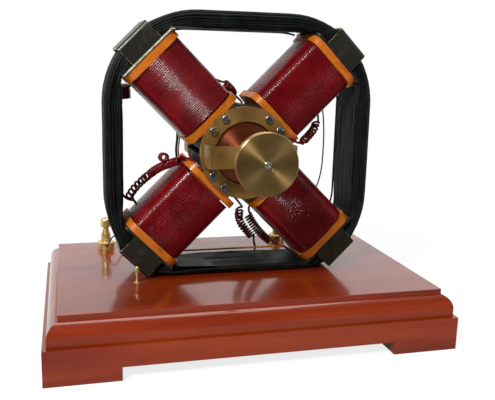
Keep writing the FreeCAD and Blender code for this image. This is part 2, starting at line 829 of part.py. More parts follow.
def make_screw(name, radius, depth, crossed=False):
    """A pan head screw that points down, its head standing on the zero plane."""
    screw = turned(name, screw_outline(radius, depth))
    low = s.screw_head_height - s.screw_slot_depth
    high = s.screw_head_height + s.overrun
    half_width = s.screw_slot_width / 2
    if crossed:
        reach = s.screw_head_radius - s.screw_head_rounding
        pocket(screw, "cross", "XY", low, high, centred(reach, half_width))
        pocket(screw, "cross_over", "XY", low, high, centred(half_width, reach))
    else:
        reach = s.screw_head_radius + s.overrun
        pocket(screw, "slot", "XY", low, high, centred(reach, half_width))
    return screw


# clamp straps
def make_strap(arm):
    body = new_body("clamp_strap_" + arm)
    front = s.yoke_front + s.strap_play
    back = s.yoke_back + s.strap_play
    sheet = s.strap_sheet
    pad(body, "band", "YZ", -s.strap_half_width, s.strap_half_width,
        rounded(-front - sheet, back + sheet, web_start, cavity_end + sheet, s.strap_corner),
        rounded(-front, back, cavity_start, cavity_end, s.strap_corner - sheet))
    side = s.strap_half_width + s.overrun
    seam_middle = cavity_start + s.strap_cavity / 2
    pocket(body, "seam", "YZ", -side, side,
           rectangle(s.yoke_back - s.overrun, back + sheet + s.overrun,
                     seam_middle - s.strap_seam / 2, seam_middle + s.strap_seam / 2))
    pocket(body, "bore", "XY", web_start - s.overrun, cavity_start + s.overrun,
           ("circle", 0, 0, s.strap_screw_radius + s.seat_gap))
    keep(on_arm(body, arm))


def make_strap_screws():
    screws = []
    depth = s.strap_screw_depth + s.strap_sheet - s.overrun
    for arm in ARMS:
        screw = make_screw("strap_screw_" + arm, s.strap_screw_radius, depth)
        x, z = across(arm, cavity_start, 0)
        screws.append(place(screw, x, 0, shaft_z + z, Rotation(Vector(0, 1, 0), ARMS[arm])))
    group("strap_screws", screws)


# wire yoke
def arc_radius(rise, reach):
    """Radius of the arc from a level side to the diagonal, square to both."""
    return (rise - reach * HALF_DIAGONAL_SHARE) / (1 - HALF_DIAGONAL_SHARE)


def loop_quarter(outer_side, outer_radius, inner_side, inner_radius):
    """One leg between two diagonals, a level stretch with an arc at each end."""
    outer_point = yoke_outer * HALF_DIAGONAL_SHARE
    inner_point = yoke_inner * HALF_DIAGONAL_SHARE
    outer_flat = outer_point - outer_radius * HALF_DIAGONAL_SHARE
    inner_flat = inner_point - inner_radius * HALF_DIAGONAL_SHARE
    return [
        (inner_point, inner_point), (outer_point, outer_point, outer_radius, True),
        (outer_flat, outer_side), (-outer_flat, outer_side, outer_radius, True),
        (-outer_point, outer_point), (-inner_point, inner_point, inner_radius, False),
        (-inner_flat, inner_side), (inner_flat, inner_side, inner_radius, False),
    ]


def leg_outline():
    inner_side = s.yoke_half_size - s.yoke_thickness
    return loop_quarter(s.yoke_half_size, arc_radius(s.yoke_half_size, yoke_outer),
                        inner_side, arc_radius(inner_side, yoke_inner))


def foot_outline():
    """The lower leg drawn like the others, its flat then turned down onto the board."""
    return loop_quarter(s.shaft_rise, arc_radius(s.shaft_rise, yoke_outer),
                        s.shaft_rise - s.yoke_foot_thickness,
                        arc_radius(s.shaft_rise - s.yoke_foot_thickness, yoke_inner))


def is_radial(edge):
    """True for the short end edges that point straight at the shaft line."""
    first, last = (vertex.Point for vertex in edge.Vertexes)
    return all(abs(abs(point.x) - abs(point.z)) < ON_DIAGONAL for point in (first, last))


def bearing_flats():
    """Where the bundle is pressed flat against the end plates at both diagonals."""
    level = web_start + s.seat_gap
    reach = s.flange_half_width + s.strap_play
    corners = [across("upper_right", level, -reach),
               across("upper_right", level - reach, -reach),
               across("upper_right", level - reach, s.overrun),
               across("upper_right", level, s.overrun)]
    return [corners, [(-x, y) for x, y in reversed(corners)]]


def make_leg(name, outline, rounding, turn):
    body = new_body(name)
    pad(body, "bundle", "XZ", -s.yoke_front, s.yoke_back, outline)

    def long_edge(edge):
        at_face = lies_at(edge, "y", -s.yoke_front) or lies_at(edge, "y", s.yoke_back)
        return at_face and not is_radial(edge)

    round_edges(body, "rounding", rounding, long_edge)
    reach = s.yoke_front + s.overrun
    pocket(body, "flats", "XZ", -reach, reach, *bearing_flats())
    keep(place(body, z=shaft_z, turn=turn))


def make_yoke():
    make_leg("yoke_top", leg_outline(), s.yoke_rounding, Rotation())
    make_leg("yoke_right", leg_outline(), s.yoke_rounding, Rotation(Vector(0, 1, 0), 90))
    make_leg("yoke_left", leg_outline(), s.yoke_rounding, Rotation(Vector(0, 1, 0), -90))
    make_leg("yoke_bottom", foot_outline(), s.yoke_foot_rounding, Rotation(Vector(0, 1, 0), 180))


def strand_knots(side, rounding, turn):
    """A round wire on a leg's rounded inner back edge, from end plate to end plate."""
    wire = number_of(s.strand_wire) / 2
    seat = (number_of(rounding) + wire + number_of(s.lead_end_gap)) * HALF_DIAGONAL_SHARE
    inward = seat - number_of(rounding)
    depth = number_of(s.yoke_back) + inward
    level = number_of(side) - inward
    diagonal = (number_of(yoke_inner) - inward) * HALF_DIAGONAL_SHARE
    radius = (level - diagonal) / (1 - HALF_DIAGONAL_SHARE)
    flat = level - radius
    clear = number_of(s.flange_half_width + s.strand_wire)
    bend = math.pi / 4 - math.asin(clear / radius)
    rise = radius * (1 - math.cos(bend))
    knots = []
    for x, z, way in ((-flat - radius * math.sin(bend), level - rise, bend), (-flat, level, 0),
                      (flat, level, 0), (flat + radius * math.sin(bend), level - rise, -bend)):
        point = turn.multVec(Vector(x, depth, z)) + Vector(0, 0, number_of(shaft_z))
        knots.append((point, turn.multVec(Vector(math.cos(way), 0, math.sin(way)))))
    return knots


def make_strands():
    upright = Vector(0, 1, 0)
    side = s.yoke_half_size - s.yoke_thickness
    foot = s.shaft_rise - s.yoke_foot_thickness
    legs = (("top", side, s.yoke_rounding, 0), ("right", side, s.yoke_rounding, 90),
            ("bottom", foot, s.yoke_foot_rounding, 180), ("left", side, s.yoke_rounding, -90))
    strands = []
    for leg, level, rounding, angle in legs:
        edges = path_through(strand_knots(level, rounding, Rotation(upright, angle)))
        shape = tube_along("strand_" + leg, edges, number_of(s.strand_wire))
        strands.append(shaped("strand_" + leg, shape))
    group("yoke_strands", strands)


# rings, bridges and bearings
def make_ring(name, turn):
    body = new_body(name)
    pad(body, "disc", "XZ", -ring_face, -s.iron_half_depth,
        ("circle", 0, 0, s.ring_radius), ("circle", 0, 0, s.ring_bore))
    hole = s.screw_radius + s.seat_gap
    holes = [("circle", *across(arm, s.ring_screw_reach, side), hole)
             for arm in ARMS for side in (-s.ring_screw_half_pitch, s.ring_screw_half_pitch)]
    holes += [("circle", side, 0, hole) for side in (-s.bridge_screw_reach, s.bridge_screw_reach)]
    pocket(body, "holes", "XZ", -ring_face - s.overrun, s.overrun - s.iron_half_depth, *holes)
    keep(place(body, z=shaft_z, turn=turn))


def make_ring_screws():
    """Slotted heads, with cross heads on the lower left shoe."""
    screws = []
    depth = s.ring_thickness + s.screw_depth - s.overrun
    for arm in ARMS:
        for side_name, side in (("a", -s.ring_screw_half_pitch), ("b", s.ring_screw_half_pitch)):
            for end, y, facing in (("front", -ring_face, FACING_FRONT),
                                   ("back", ring_face, FACING_BACK)):
                name = "_".join(["ring_screw", arm, side_name, end])
                screw = make_screw(name, s.screw_radius, depth, arm == "lower_left")
                x, z = across(arm, s.ring_screw_reach, side)
                lean = Rotation(Vector(0, 0, 1), SLOT_ANGLES[len(screws) % len(SLOT_ANGLES)])
                screws.append(place(screw, x, y, shaft_z + z, facing * lean))
    group("ring_screws", screws)


def make_bridge(name, turn):
    body = new_body(name)
    sheet = s.bridge_sheet
    half = s.bridge_half_span
    inner = half - sheet
    toe = half - s.bridge_foot
    plan = [
        (-half, -ring_face), (-half, -bridge_front), (half, -bridge_front), (half, -ring_face),
        (toe, -ring_face), (toe, -ring_face - sheet), (inner, -ring_face - sheet),
        (inner, sheet - bridge_front), (-inner, sheet - bridge_front),
        (-inner, -ring_face - sheet), (-toe, -ring_face - sheet), (-toe, -ring_face),
    ]
    pad(body, "strap", "XY", -s.bridge_half_width, s.bridge_half_width, plan)

    def outer_corner(edge):
        at_side = lies_at(edge, "x", half) or lies_at(edge, "x", -half)
        return at_side and lies_at(edge, "y", -bridge_front)

    round_edges(body, "rounding", s.bridge_rounding, outer_corner)
    pocket(body, "bearing_hole", "XZ", -bridge_front - s.overrun, sheet + s.overrun - bridge_front,
           ("circle", 0, 0, s.bearing_radius + s.seat_gap))
    holes = [("circle", side, 0, s.screw_radius + s.seat_gap)
             for side in (-s.bridge_screw_reach, s.bridge_screw_reach)]
    pocket(body, "screw_holes", "XZ", -ring_face - sheet - s.overrun, s.overrun - ring_face, *holes)
    keep(place(body, z=shaft_z, turn=turn))


def make_bridge_screws():
    screws = []
    depth = s.ring_thickness + s.bridge_sheet - s.seat_gap
    face = ring_face + s.bridge_sheet
    for side_name, x in (("left", -s.bridge_screw_reach), ("right", s.bridge_screw_reach)):
        for end, y, facing in (("front", -face, FACING_FRONT), ("back", face, FACING_BACK)):
            screw = make_screw("_".join(["bridge_screw", side_name, end]), s.screw_radius, depth)
            screws.append(place(screw, x, y, shaft_z, facing))
    group("bridge_screws", screws)


def make_pair(name, outline):
    """Two like pieces turned about the shaft, one at each end, as one group."""
    ends = (("_front", FACING_FRONT), ("_back", FACING_BACK))
    group(name, [place(turned(name + end, outline), z=shaft_z, turn=turn) for end, turn in ends])


def make_bearings():
    bore = s.shaft_radius + s.running_gap
    flange_end = bridge_front + s.bearing_flange
    make_pair("bearings", [
        (bore, bearing_inner_end), (s.bearing_radius, bearing_inner_end),
        (s.bearing_radius, bridge_front), (s.bearing_flange_radius, bridge_front),
        (s.bearing_flange_radius, flange_end), (bore, flange_end)])


# turning parts, drawn along the shaft with the back upwards
def make_shaft():
    radius, chamfer = s.shaft_radius, s.shaft_chamfer
    mark_bottom = s.centre_mark_depth - s.shaft_front
    tail, tail_start = s.shaft_tail_radius, s.shaft_back - s.shaft_tail_length
    body = turned("shaft", [
        (0, mark_bottom), (s.centre_mark_radius, -s.shaft_front),
        (radius - chamfer, -s.shaft_front), (radius, chamfer - s.shaft_front),
        (radius, tail_start), (tail, tail_start), (tail, s.shaft_back - chamfer),
        (tail - chamfer, s.shaft_back), (0, s.shaft_back)])
    keep(place(body, z=shaft_z, turn=FACING_BACK))


def make_rotor():
    seat = s.shaft_radius + s.seat_gap
    shell = s.rotor_radius - s.rotor_shell
    half = s.rotor_half_length
    cap = half - s.rotor_cap
    drum = turned("rotor_drum", [
        (seat, -half), (s.rotor_radius, -half), (s.rotor_radius, half), (seat, half),
        (seat, cap), (shell, cap), (shell, -cap), (seat, -cap)])
    keep(place(drum, z=shaft_z, turn=FACING_BACK))
    iron_radius = shell - s.seat_gap
    iron_half = cap - s.seat_gap
    iron = turned("rotor_iron", [
        (seat, -iron_half), (iron_radius, -iron_half), (iron_radius, iron_half), (seat, iron_half)])
    keep(place(iron, z=shaft_z, turn=FACING_BACK))


def make_disc():
    seat = s.shaft_radius + s.seat_gap
    front = -s.disc_front
    back = s.disc_thickness - s.disc_front
    chamfer = s.disc_chamfer
    body = turned("brass_disc", [
        (seat, front), (s.disc_radius - chamfer, front), (s.disc_radius, front + chamfer),
        (s.disc_radius, back - chamfer), (s.disc_radius - chamfer, back),
        (s.disc_hub_radius, back), (s.disc_hub_radius, back + s.disc_hub_length),
        (seat, back + s.disc_hub_length)])
    pocket(body, "seam", "XY", front - s.overrun, front + s.seam_depth,
           ("circle", s.seam_right, s.seam_drop, s.seam_radius + s.seam_width / 2),
           ("circle", s.seam_right, s.seam_drop, s.seam_radius - s.seam_width / 2))
    keep(place(body, z=shaft_z, turn=FACING_BACK))


def make_collars():
    seat = s.shaft_radius + s.seat_gap
    far = bearing_inner_end - s.collar_play
    close = far - s.collar_length
    make_pair("collars", [
        (seat, close), (s.collar_radius, close), (s.collar_radius, far), (seat, far)])


# binding posts
def post_outline():
    flange, chamfer = s.post_flange_radius, s.post_flange_chamfer
    stud_end = -s.board_height - s.stud_below
    bore = s.knob_stem_radius + s.thread_play
    return [
        (0, stud_end), (s.stud_radius, stud_end), (s.stud_radius, 0), (flange, 0),
        (flange, s.post_flange_height - chamfer), (flange - chamfer, s.post_flange_height),
        (s.post_radius, s.post_flange_height), (s.post_radius, s.post_height),
        (bore, s.post_height), (bore, s.wire_hole_height), (0, s.wire_hole_height),
    ]


def make_posts():
    posts = []
    for row, (x, y) in enumerate(post_places(), start=1):
        post = turned("terminal_post_%d" % row, post_outline())
        reach = s.post_radius + s.overrun
        pocket(post, "wire_hole", "XZ", -reach, reach,
               ("circle", 0, s.wire_hole_height, s.wire_hole_radius))
        edge = s.post_flange_radius
        pocket(post, "lead_hole", "XZ", -edge - s.overrun, s.lead_hole_depth - edge,
               ("circle", 0, s.lead_hole_height, s.lead_hole_radius))
        posts.append(place(post, x, y, board_top))
    group("terminal_posts", posts)


def hexagon(half_flat):
    point = half_flat * (2 / math.sqrt(3))
    half_point = point / 2
    return [(-half_point, -half_flat), (half_point, -half_flat), (point, 0),
            (half_point, half_flat), (-half_point, half_flat), (-point, 0)]


def make_nuts():
    """Under the board, each on its own washer."""
    pieces = []
    hole = s.stud_radius + s.seat_gap
    washer_low = s.plinth_height - s.nut_washer_height
    for row, (x, y) in enumerate(post_places(), start=1):
        washer = new_body("stud_washer_%d" % row)
        pad(washer, "disc", "XY", washer_low, s.plinth_height,
            ("circle", 0, 0, s.nut_washer_radius), ("circle", 0, 0, hole))
        nut = new_body("stud_nut_%d" % row)
        pad(nut, "hexagon", "XY", washer_low - s.nut_height, washer_low,
            hexagon(s.nut_half_flat), ("circle", 0, 0, hole))
        pieces += [place(washer, x, y), place(nut, x, y)]
    group("terminal_nuts", pieces)


def make_washers_and_knobs():
    washer_top = board_top + s.post_height + s.washer_height
    neck_top = s.knob_cone_height + s.knob_neck_height
    top = neck_top + s.knob_height
    head, rounding, under = s.knob_radius, s.knob_rounding, s.knob_under_rounding
    hole_floor = top - s.knob_hole_depth
    knob_outline = [
        (0, -s.knob_stem_length), (s.knob_stem_radius, -s.knob_stem_length),
        (s.knob_stem_radius, 0), (s.knob_cone_radius, 0),
        (s.knob_neck_radius, s.knob_cone_height), (s.knob_neck_radius, neck_top),
        (head - under, neck_top, under, True), (head, neck_top + under),
        (head, top - rounding, rounding, True), (head - rounding, top),
        (s.knob_hole_radius, top), (s.knob_hole_radius, hole_floor), (0, hole_floor)]
    for row, (x, y) in enumerate(post_places(), start=1):
        washer = new_body("terminal_washer_%d" % row)
        pad(washer, "disc", "XY", s.seat_gap, s.washer_height - s.seat_gap,
            ("circle", 0, 0, s.washer_radius),
            ("circle", 0, 0, s.knob_stem_radius + s.thread_play * 2))
        keep(place(washer, x, y, board_top + s.post_height))
        keep(place(turned("terminal_knob_%d" % row, knob_outline), x, y, washer_top))


# small brass pins
def make_pins():
    shank = s.pin_shank_radius
    half = (s.pin_bulb_end - s.pin_bulb_start) / 2
    swell = s.pin_bulb_swell
    swell_radius = (half * half + swell * swell) / (swell * 2)
    outline = [
        (0, -s.pin_depth), (shank, -s.pin_depth), (shank, 0), (s.pin_flare_radius, 0),
        (shank, s.pin_flare_height), (shank, s.pin_bulb_start, swell_radius, True),
        (shank, s.pin_bulb_end), (0, s.pin_height)]
    pins = []
    for row, (x, y) in enumerate(pin_places(), start=1):
        pins.append(place(turned("pin_%d" % row, outline), x, y, board_top))
    group("brass_pins", pins)


# curly wires
def unit(way):
    return Vector(way).normalize()


def spline_at(points, share):
    """Smooth place and way at a share of the route through the points."""
    last = len(points) - 1
    row = min(int(share * last), last - 1)
    part = share * last - row
    before = points[row - 1] if row else points[0] * 2 - points[1]
    start, finish = points[row], points[row + 1]
    after = points[row + 2] if row + 2 <= last else finish * 2 - start
    way_in, way_out = (finish - before) * 0.5, (after - start) * 0.5
    square, cube = part ** 2, part ** 3
    place_at = (start * (2 * cube - 3 * square + 1) + way_in * (cube - 2 * square + part)
                + finish * (3 * square - 2 * cube) + way_out * (cube - square))
    way = (start * (6 * square - 6 * part) + way_in * (3 * square - 4 * part + 1)
           + finish * (6 * part - 6 * square) + way_out * (3 * square - 2 * part))
    return place_at, way * last


def curl_knots(route, curls, curl_radius, start_turn):
    """Knots each quarter turn of a curl that winds round the route."""
    points = [Vector(*point) for point in route]
    radius = number_of(curl_radius)
    count = curls * QUARTERS
    knots = []
    for row in range(count + 1):
        middle, way = spline_at(points, row / count)
        along = unit(way)
        level = unit(Vector(0, 1, 0) - along * along.y)
        cross = along.cross(level)
        angle = 2 * math.pi * (row / QUARTERS + start_turn)
        spot = middle + (level * math.cos(angle) + cross * math.sin(angle)) * radius
        round_way = (cross * math.cos(angle) - level * math.sin(angle)) * radius
        knots.append((spot, unit(round_way + way * (1 / (2 * math.pi * curls)))))
    return knots


def plain_knots(route):
    """Knots at the inner points of a route, each way taken from the points beside it."""
    points = [Vector(*point) for point in route]
    return [(point, unit(after - before))
            for before, point, after in zip(points, points[1:], points[2:])]


def stub_knots(point, way):
    """A straight start one wire long, square to what it meets."""
    return [(point, way), (point + way * number_of(s.curl_wire), way)]


def backwards(knots):
    return [(point, way * -1) for point, way in reversed(knots)]


def winding_face(arm, reach, side, depth):
    """A place on the flat side of a winding, a hair off its turns, and its outward way."""
    face = (number_of(s.winding_half_width) + number_of(s.lead_end_gap)) * side
    x, z = across(arm, reach, face)
    way_x, way_z = across(arm, 0, side)
    return Vector(x, depth, z + number_of(shaft_z)), Vector(way_x, 0, way_z)


def ring_edge(angle, depth):
    """A place on a ring's rim, a hair off it, and its outward way."""
    way = Vector(math.cos(math.radians(angle)), 0, math.sin(math.radians(angle)))
    reach = number_of(s.ring_radius) + number_of(s.lead_end_gap)
    return way * reach + Vector(0, depth, number_of(shaft_z)), way


def board_place(x, y):
    """A place a hair over the board, and its upward way."""
    return Vector(x, y, number_of(board_top) + number_of(s.lead_end_gap)), Vector(0, 0, 1)


def lead_end(kind, *facts):
    ends = {"winding": winding_face, "ring": ring_edge, "board": board_place}
    return ends[kind](*facts)


def curly_wire(name, lead, curl_radius):
    wire = number_of(s.curl_wire)
    edges = path_through(
        stub_knots(*lead_end(*lead.start))
        + curl_knots(lead.axis, lead.curls, curl_radius, lead.turn_share)
        + plain_knots(lead.tail)
        + backwards(stub_knots(*lead_end(*lead.finish))))
    print("%s: least gap between curls %.3f" % (name, least_self_gap(edges, wire)))
    return shaped(name, tube_along(name, edges, wire))


def make_curly_leads():
    keep(curly_wire("curly_lead_lower_left", LOWER_LEFT_LEAD, s.curl_radius))
    keep(curly_wire("curly_lead_upper_right", UPPER_RIGHT_LEAD, s.curl_radius))
    group("curly_leads_lower", [
        curly_wire("curly_lead_lower_near", LOWER_NEAR_LEAD, s.curl_radius),
        curly_wire("curly_lead_lower_far", LOWER_FAR_LEAD, s.curl_radius)])
    group("curly_leads_rear", [
        curly_wire("curly_lead_top", TOP_LEAD, s.curl_radius),
        curly_wire("curly_lead_upper_left", UPPER_LEFT_LEAD, s.loop_radius)])


# plain leads: straight runs joined by arcs as large as the runs allow
def cord_edges(name, route):
    points = [Vector(*point) for point in route]
    edges, radii = [], []
    reached = points[0]
    for before, corner, after in zip(points, points[1:], points[2:]):
        way_in, way_out = unit(corner - before), unit(after - corner)
        half_turn = way_in.getAngle(way_out) / 2
        cut = min((corner - before).Length, (after - corner).Length) * RUN_CUT_SHARE
        radius = cut / math.tan(half_turn)
        start, finish = corner - way_in * cut, corner + way_out * cut
        inward = unit(way_out - way_in) * (radius / math.cos(half_turn) - radius)
        edges.append(Part.LineSegment(reached, start).toShape())
        edges.append(Part.Arc(start, corner + inward, finish).toShape())
        radii.append(radius)
        reached = finish
    edges.append(Part.LineSegment(reached, points[-1]).toShape())
    print(name, "bend radii", " ".join("%.1f" % radius for radius in radii))
    return edges


def plain_wire(name, route, diameter):
    return shaped(name, tube_along(name, cord_edges(name, route), number_of(diameter)))


def between_backs(route):
    """The route with both its ends brought straight to the windings' back faces."""
    back = number_of(s.winding_half_depth) + number_of(s.lead_end_gap)
    ends = [(x, back, z) for x, _, z in (route[0], route[-1])]
    return ends[:1] + route + ends[1:]


def make_plain_leads():
    hole_floor = s.post_row - s.post_flange_radius + s.lead_hole_depth
    post_end = (-number_of(s.post_outer), number_of(hole_floor - s.lead_end_gap),
                number_of(board_top + s.lead_hole_height))
    group("black_leads", [
        plain_wire("lead_left", between_backs(LEFT_LEAD_ROUTE), s.lead_wire),
        plain_wire("lead_right", between_backs(RIGHT_LEAD_ROUTE), s.thin_lead_wire),
        plain_wire("lead_terminal", [post_end] + TERMINAL_LEAD_ROUTE, s.thin_lead_wire),
    ])
    keep(plain_wire("copper_lead", between_backs(COPPER_LEAD_ROUTE), s.copper_lead_wire))


# the whole motor
def build():
    make_plinth()
    make_top_board()
    make_wood_screws()
    for arm in ARMS:
        make_pole_core(arm)
        make_bobbin(arm)
        make_strap(arm)
    make_windings()
    make_cards_and_plates()
    make_strap_screws()
    make_yoke()
    make_strands()
    make_ring("front_ring", Rotation())
    make_ring("rear_ring", HALF_TURN)
    make_ring_screws()
    make_bridge("front_bridge", Rotation())
    make_bridge("rear_bridge", HALF_TURN)
    make_bearings()
    make_bridge_screws()
    make_shaft()
    make_rotor()
    make_disc()
    make_collars()
    make_posts()
    make_nuts()
    make_washers_and_knobs()
    make_pins()
    make_curly_leads()
    make_plain_leads()


def check():
    doc.recompute()
    bad = [item.Name for item in doc.Objects if {"Invalid", "Error"} & set(item.State)]
    if bad:
        raise RuntimeError("objects that failed: " + ", ".join(bad))
    for name, item in nodes.items():
        if item.Shape.isNull() or not item.Shape.isValid() or not item.Shape.Solids:
            raise RuntimeError("shape that is not sound: " + name)


def write():
    os.makedirs("parts", exist_ok=True)
    for name, item in nodes.items():
        item.Shape.exportStep("parts/" + name + ".step")
        print(name, len(item.Shape.Solids), round(item.Shape.Volume, 1))


build()
check()
write()
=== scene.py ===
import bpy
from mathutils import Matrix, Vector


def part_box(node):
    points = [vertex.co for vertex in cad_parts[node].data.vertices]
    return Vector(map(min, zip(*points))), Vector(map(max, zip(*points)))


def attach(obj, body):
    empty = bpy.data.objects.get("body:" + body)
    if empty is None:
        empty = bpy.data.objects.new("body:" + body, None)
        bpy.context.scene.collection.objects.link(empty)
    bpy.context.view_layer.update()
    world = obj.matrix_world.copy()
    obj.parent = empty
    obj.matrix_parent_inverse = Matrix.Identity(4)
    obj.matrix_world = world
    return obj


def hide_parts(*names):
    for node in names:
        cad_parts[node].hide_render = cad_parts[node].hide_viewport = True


bl_info = {
    "name": "Demonstration electric motor",
    "version": (1, 0, 0),
    "blender": (4, 5, 0),
    "location": "View3D > Sidebar > Motor",
    "description": "Wound magnets, wire yoke, brass work and wooden base over the motor's frame",
    "category": "Object",
}

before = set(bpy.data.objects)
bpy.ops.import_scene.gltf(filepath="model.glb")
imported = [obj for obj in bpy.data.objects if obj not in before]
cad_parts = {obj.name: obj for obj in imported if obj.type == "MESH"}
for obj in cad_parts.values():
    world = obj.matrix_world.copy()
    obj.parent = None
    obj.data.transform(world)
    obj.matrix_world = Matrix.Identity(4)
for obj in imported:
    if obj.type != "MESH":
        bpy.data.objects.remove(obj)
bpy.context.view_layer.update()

import math

import bpy
from mathutils import Matrix, Vector, noise

MM = 0.001
PICTURE_WIDTH = 495
ARMS = {"upper_right": 45, "lower_right": 135, "lower_left": 225, "upper_left": 315}
LEGS = {"top": 0, "right": 90, "bottom": 180, "left": -90}
HALF_DIAGONAL = math.sqrt(0.5)
POSTS = range(1, 5)
FRAME_BODY = "frame"
ROTOR_BODY = "rotor"
SHAFT_Z = sum(corner.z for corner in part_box("shaft")) / 2
BOARD_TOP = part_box("top_board")[1].z


def linear(hex_text):
    """An sRGB hex colour as linear red, green, blue and alpha."""
    parts = [int(hex_text[row:row + 2], 16) / 255 for row in (1, 3, 5)]
    return tuple(part / 12.92 if part <= 0.04045 else ((part + 0.055) / 1.055) ** 2.4
                 for part in parts) + (1.0,)


def length(name, description, millimetres):
    return bpy.props.FloatProperty(
        name=name, description=description, default=millimetres * MM, unit="LENGTH", min=0.0,
        precision=5)


def colour(name, description, hex_text):
    return bpy.props.FloatVectorProperty(
        name=name, description=description, default=linear(hex_text)[:3], subtype="COLOR",
        size=3, min=0.0, max=1.0)


# sizes and colours that a user may change
class MotorSizes(bpy.types.PropertyGroup):
    winding_pitch: length("Winding pitch", "Distance from turn to turn", 1.42)
    winding_wire: length("Winding wire", "Thickness of the covered winding wire", 1.5)
    winding_bow: length("Winding bow", "How far the sides of a winding swell", 0.9)
    winding_wander: length("Winding wander", "How far a turn strays from its place", 0.1)
    yoke_wire: length("Yoke wire", "Thickness of one iron wire of the yoke", 2.1)
    yoke_wander: length("Yoke wander", "How far a yoke wire strays sideways", 0.5)
    yoke_heart: length("Yoke heart", "How deep the yoke's solid heart lies under its wires", 2.6)
    yoke_sink: length("Yoke sink", "How deep groups of the yoke's wires sink in", 1.8)
    curl_wire: length("Curly wire", "Thickness of the curly leads", 1.8)
    curl_radius: length("Curl radius", "Radius of the curls to the wire's middle", 2.7)
    loop_radius: length("Loop radius", "Radius of the large rear loops", 3.7)
    black_lead: length("Black lead", "Thickness of the thick black lead", 2.0)
    thin_lead: length("Thin lead", "Thickness of the thin leads", 1.2)
    wood_edge: length("Wood edge", "Rounding of the base's edges", 0.7)
    metal_edge: length("Metal edge", "Easing of machined edges", 0.22)
    strap_edge: length("Strap edge", "Worn edge of the clamp straps", 0.65)
    flange_edge: length("Flange edge", "Rounding of the bobbins' flanges", 1.1)


class MotorColours(bpy.types.PropertyGroup):
    mahogany: colour("Mahogany", "Middle tone of the wood", "#6a1e04")
    mahogany_dark: colour("Mahogany, dark", "Dark ribbon of the wood", "#4e1202")
    mahogany_light: colour("Mahogany, light", "Light ribbon of the wood", "#782a08")
    flange: colour("Flange", "Amber varnish on the bobbins", "#944a00")
    flange_dark: colour("Flange, dark", "Grain and worn places of the bobbins", "#7c3a04")
    wire_red: colour("Winding red", "Shellacked wire covering", "#520005")
    wire_light: colour("Winding red, light", "Rubbed places of the wire covering", "#66040c")
    yoke: colour("Yoke", "Black varnish over iron wire", "#060807")
    yoke_worn: colour("Yoke, worn", "Rubbed varnish on the wires", "#1e2320")
    strap: colour("Strap", "Dark varnished iron band", "#1b1b11")
    strap_worn: colour("Strap, worn", "Bare metal at the edges of the straps", "#b8ab86")
    # plate: a pale tone that paints the highlight of the lit upper left end plate
    plate: colour("End plate", "Bright sheet at the outer flanges", "#c8c0a8")
    brass: colour("Brass", "Aged brass of rings and bridges", "#886634")
    brass_dark: colour("Brass, stained", "Stains in the aged brass", "#6c4f28")
    bright_brass: colour("Bright brass", "Turned brass of the binding posts", "#dcc07c")
    disc_brass: colour("Disc brass", "Turned brass of the disc", "#c49e60")
    copper: colour("Copper", "Turned copper of the rotor", "#b8684a")
    steel: colour("Steel", "Screws and shaft", "#b8bab4")
    # iron: kept near black as painted shade between the flanges and the ring
    iron: colour("Core iron", "Oiled iron of the magnets' shoes", "#24221e")
    black_lead: colour("Black lead", "Varnished black covering", "#20201e")
    amber_lead: colour("Amber lead", "Varnished amber covering", "#b06c24")


def sizes():
    return bpy.context.scene.motor_sizes


def colours():
    return bpy.context.scene.motor_colours


def tone(name):
    return tuple(getattr(colours(), name)) + (1.0,)


# nodes of materials
def add_node(tree, kind, inputs=None, stops=None, **settings):
    """A node with its settings, its inputs set or linked, and the stops of a ramp."""
    node = tree.nodes.new(kind)
    for name, value in settings.items():
        setattr(node, name, value)
    for key, value in (inputs or {}).items():
        if isinstance(value, bpy.types.NodeSocket):
            tree.links.new(value, node.inputs[key])
        else:
            node.inputs[key].default_value = value
    if stops:
        elements = node.color_ramp.elements
        while len(elements) < len(stops):
            elements.new(0.5)
        for element, (place, value) in zip(elements, stops):
            element.position = place
            element.color = value
    return node


def per_metre(millimetres):
    """Scale of a pattern whose features are that wide."""
    return 1 / (millimetres * MM)


SHADER_SOCKETS = {
    "base": "Base Color", "rough": "Roughness", "normal": "Normal", "metallic": "Metallic",
    "coat": "Coat Weight", "coat_rough": "Coat Roughness", "coat_ior": "Coat IOR",
    "coat_normal": "Coat Normal", "tangent": "Tangent", "specular": "Specular IOR Level",
    "anisotropic": "Anisotropic", "turn": "Anisotropic Rotation"}


def start_material(name):
    """An empty node material, its nodes and the object's own coordinates."""
    material = bpy.data.materials.new(name)
    material.use_nodes = True
    tree = material.node_tree
    tree.nodes.clear()
    return material, tree, add_node(tree, "ShaderNodeTexCoord").outputs["Object"]


def surface(tree, **values):
    """The surface shader, each of its sockets linked or set by a short name."""
    inputs = {SHADER_SOCKETS[name]: value for name, value in values.items()}
    shader = add_node(tree, "ShaderNodeBsdfPrincipled", inputs)
    add_node(tree, "ShaderNodeOutputMaterial", {"Surface": shader.outputs["BSDF"]})


def mottle(tree, place, width, detail, rough=0.5, warp=0.0):
    """Noise whose features are that many millimetres wide."""
    return add_node(tree, "ShaderNodeTexNoise", {
        "Vector": place, "Scale": per_metre(width), "Detail": detail, "Roughness": rough,
        "Distortion": warp}).outputs["Fac"]


def ridges(tree, place, width, warp, detail=2.0, **settings):
    """Waves that are that many millimetres wide."""
    return add_node(tree, "ShaderNodeTexWave", {
        "Vector": place, "Scale": per_metre(width) / (2 * math.pi), "Distortion": warp,
        "Detail": detail}, **settings).outputs["Fac"]


def shades(tree, share, *stops):
    """Colours that follow a share."""
    return add_node(tree, "ShaderNodeValToRGB", {"Fac": share}, stops=stops).outputs["Color"]


def blend(tree, share, first, second):
    return add_node(tree, "ShaderNodeMix", {0: share, 6: first, 7: second},
                    data_type="RGBA").outputs[2]


def rescale(tree, value, low, high, new_low, new_high, **settings):
    """A value moved from one range to another."""
    return add_node(tree, "ShaderNodeMapRange", {
        "Value": value, "From Min": low, "From Max": high, "To Min": new_low,
        "To Max": new_high}, **settings).outputs[0]


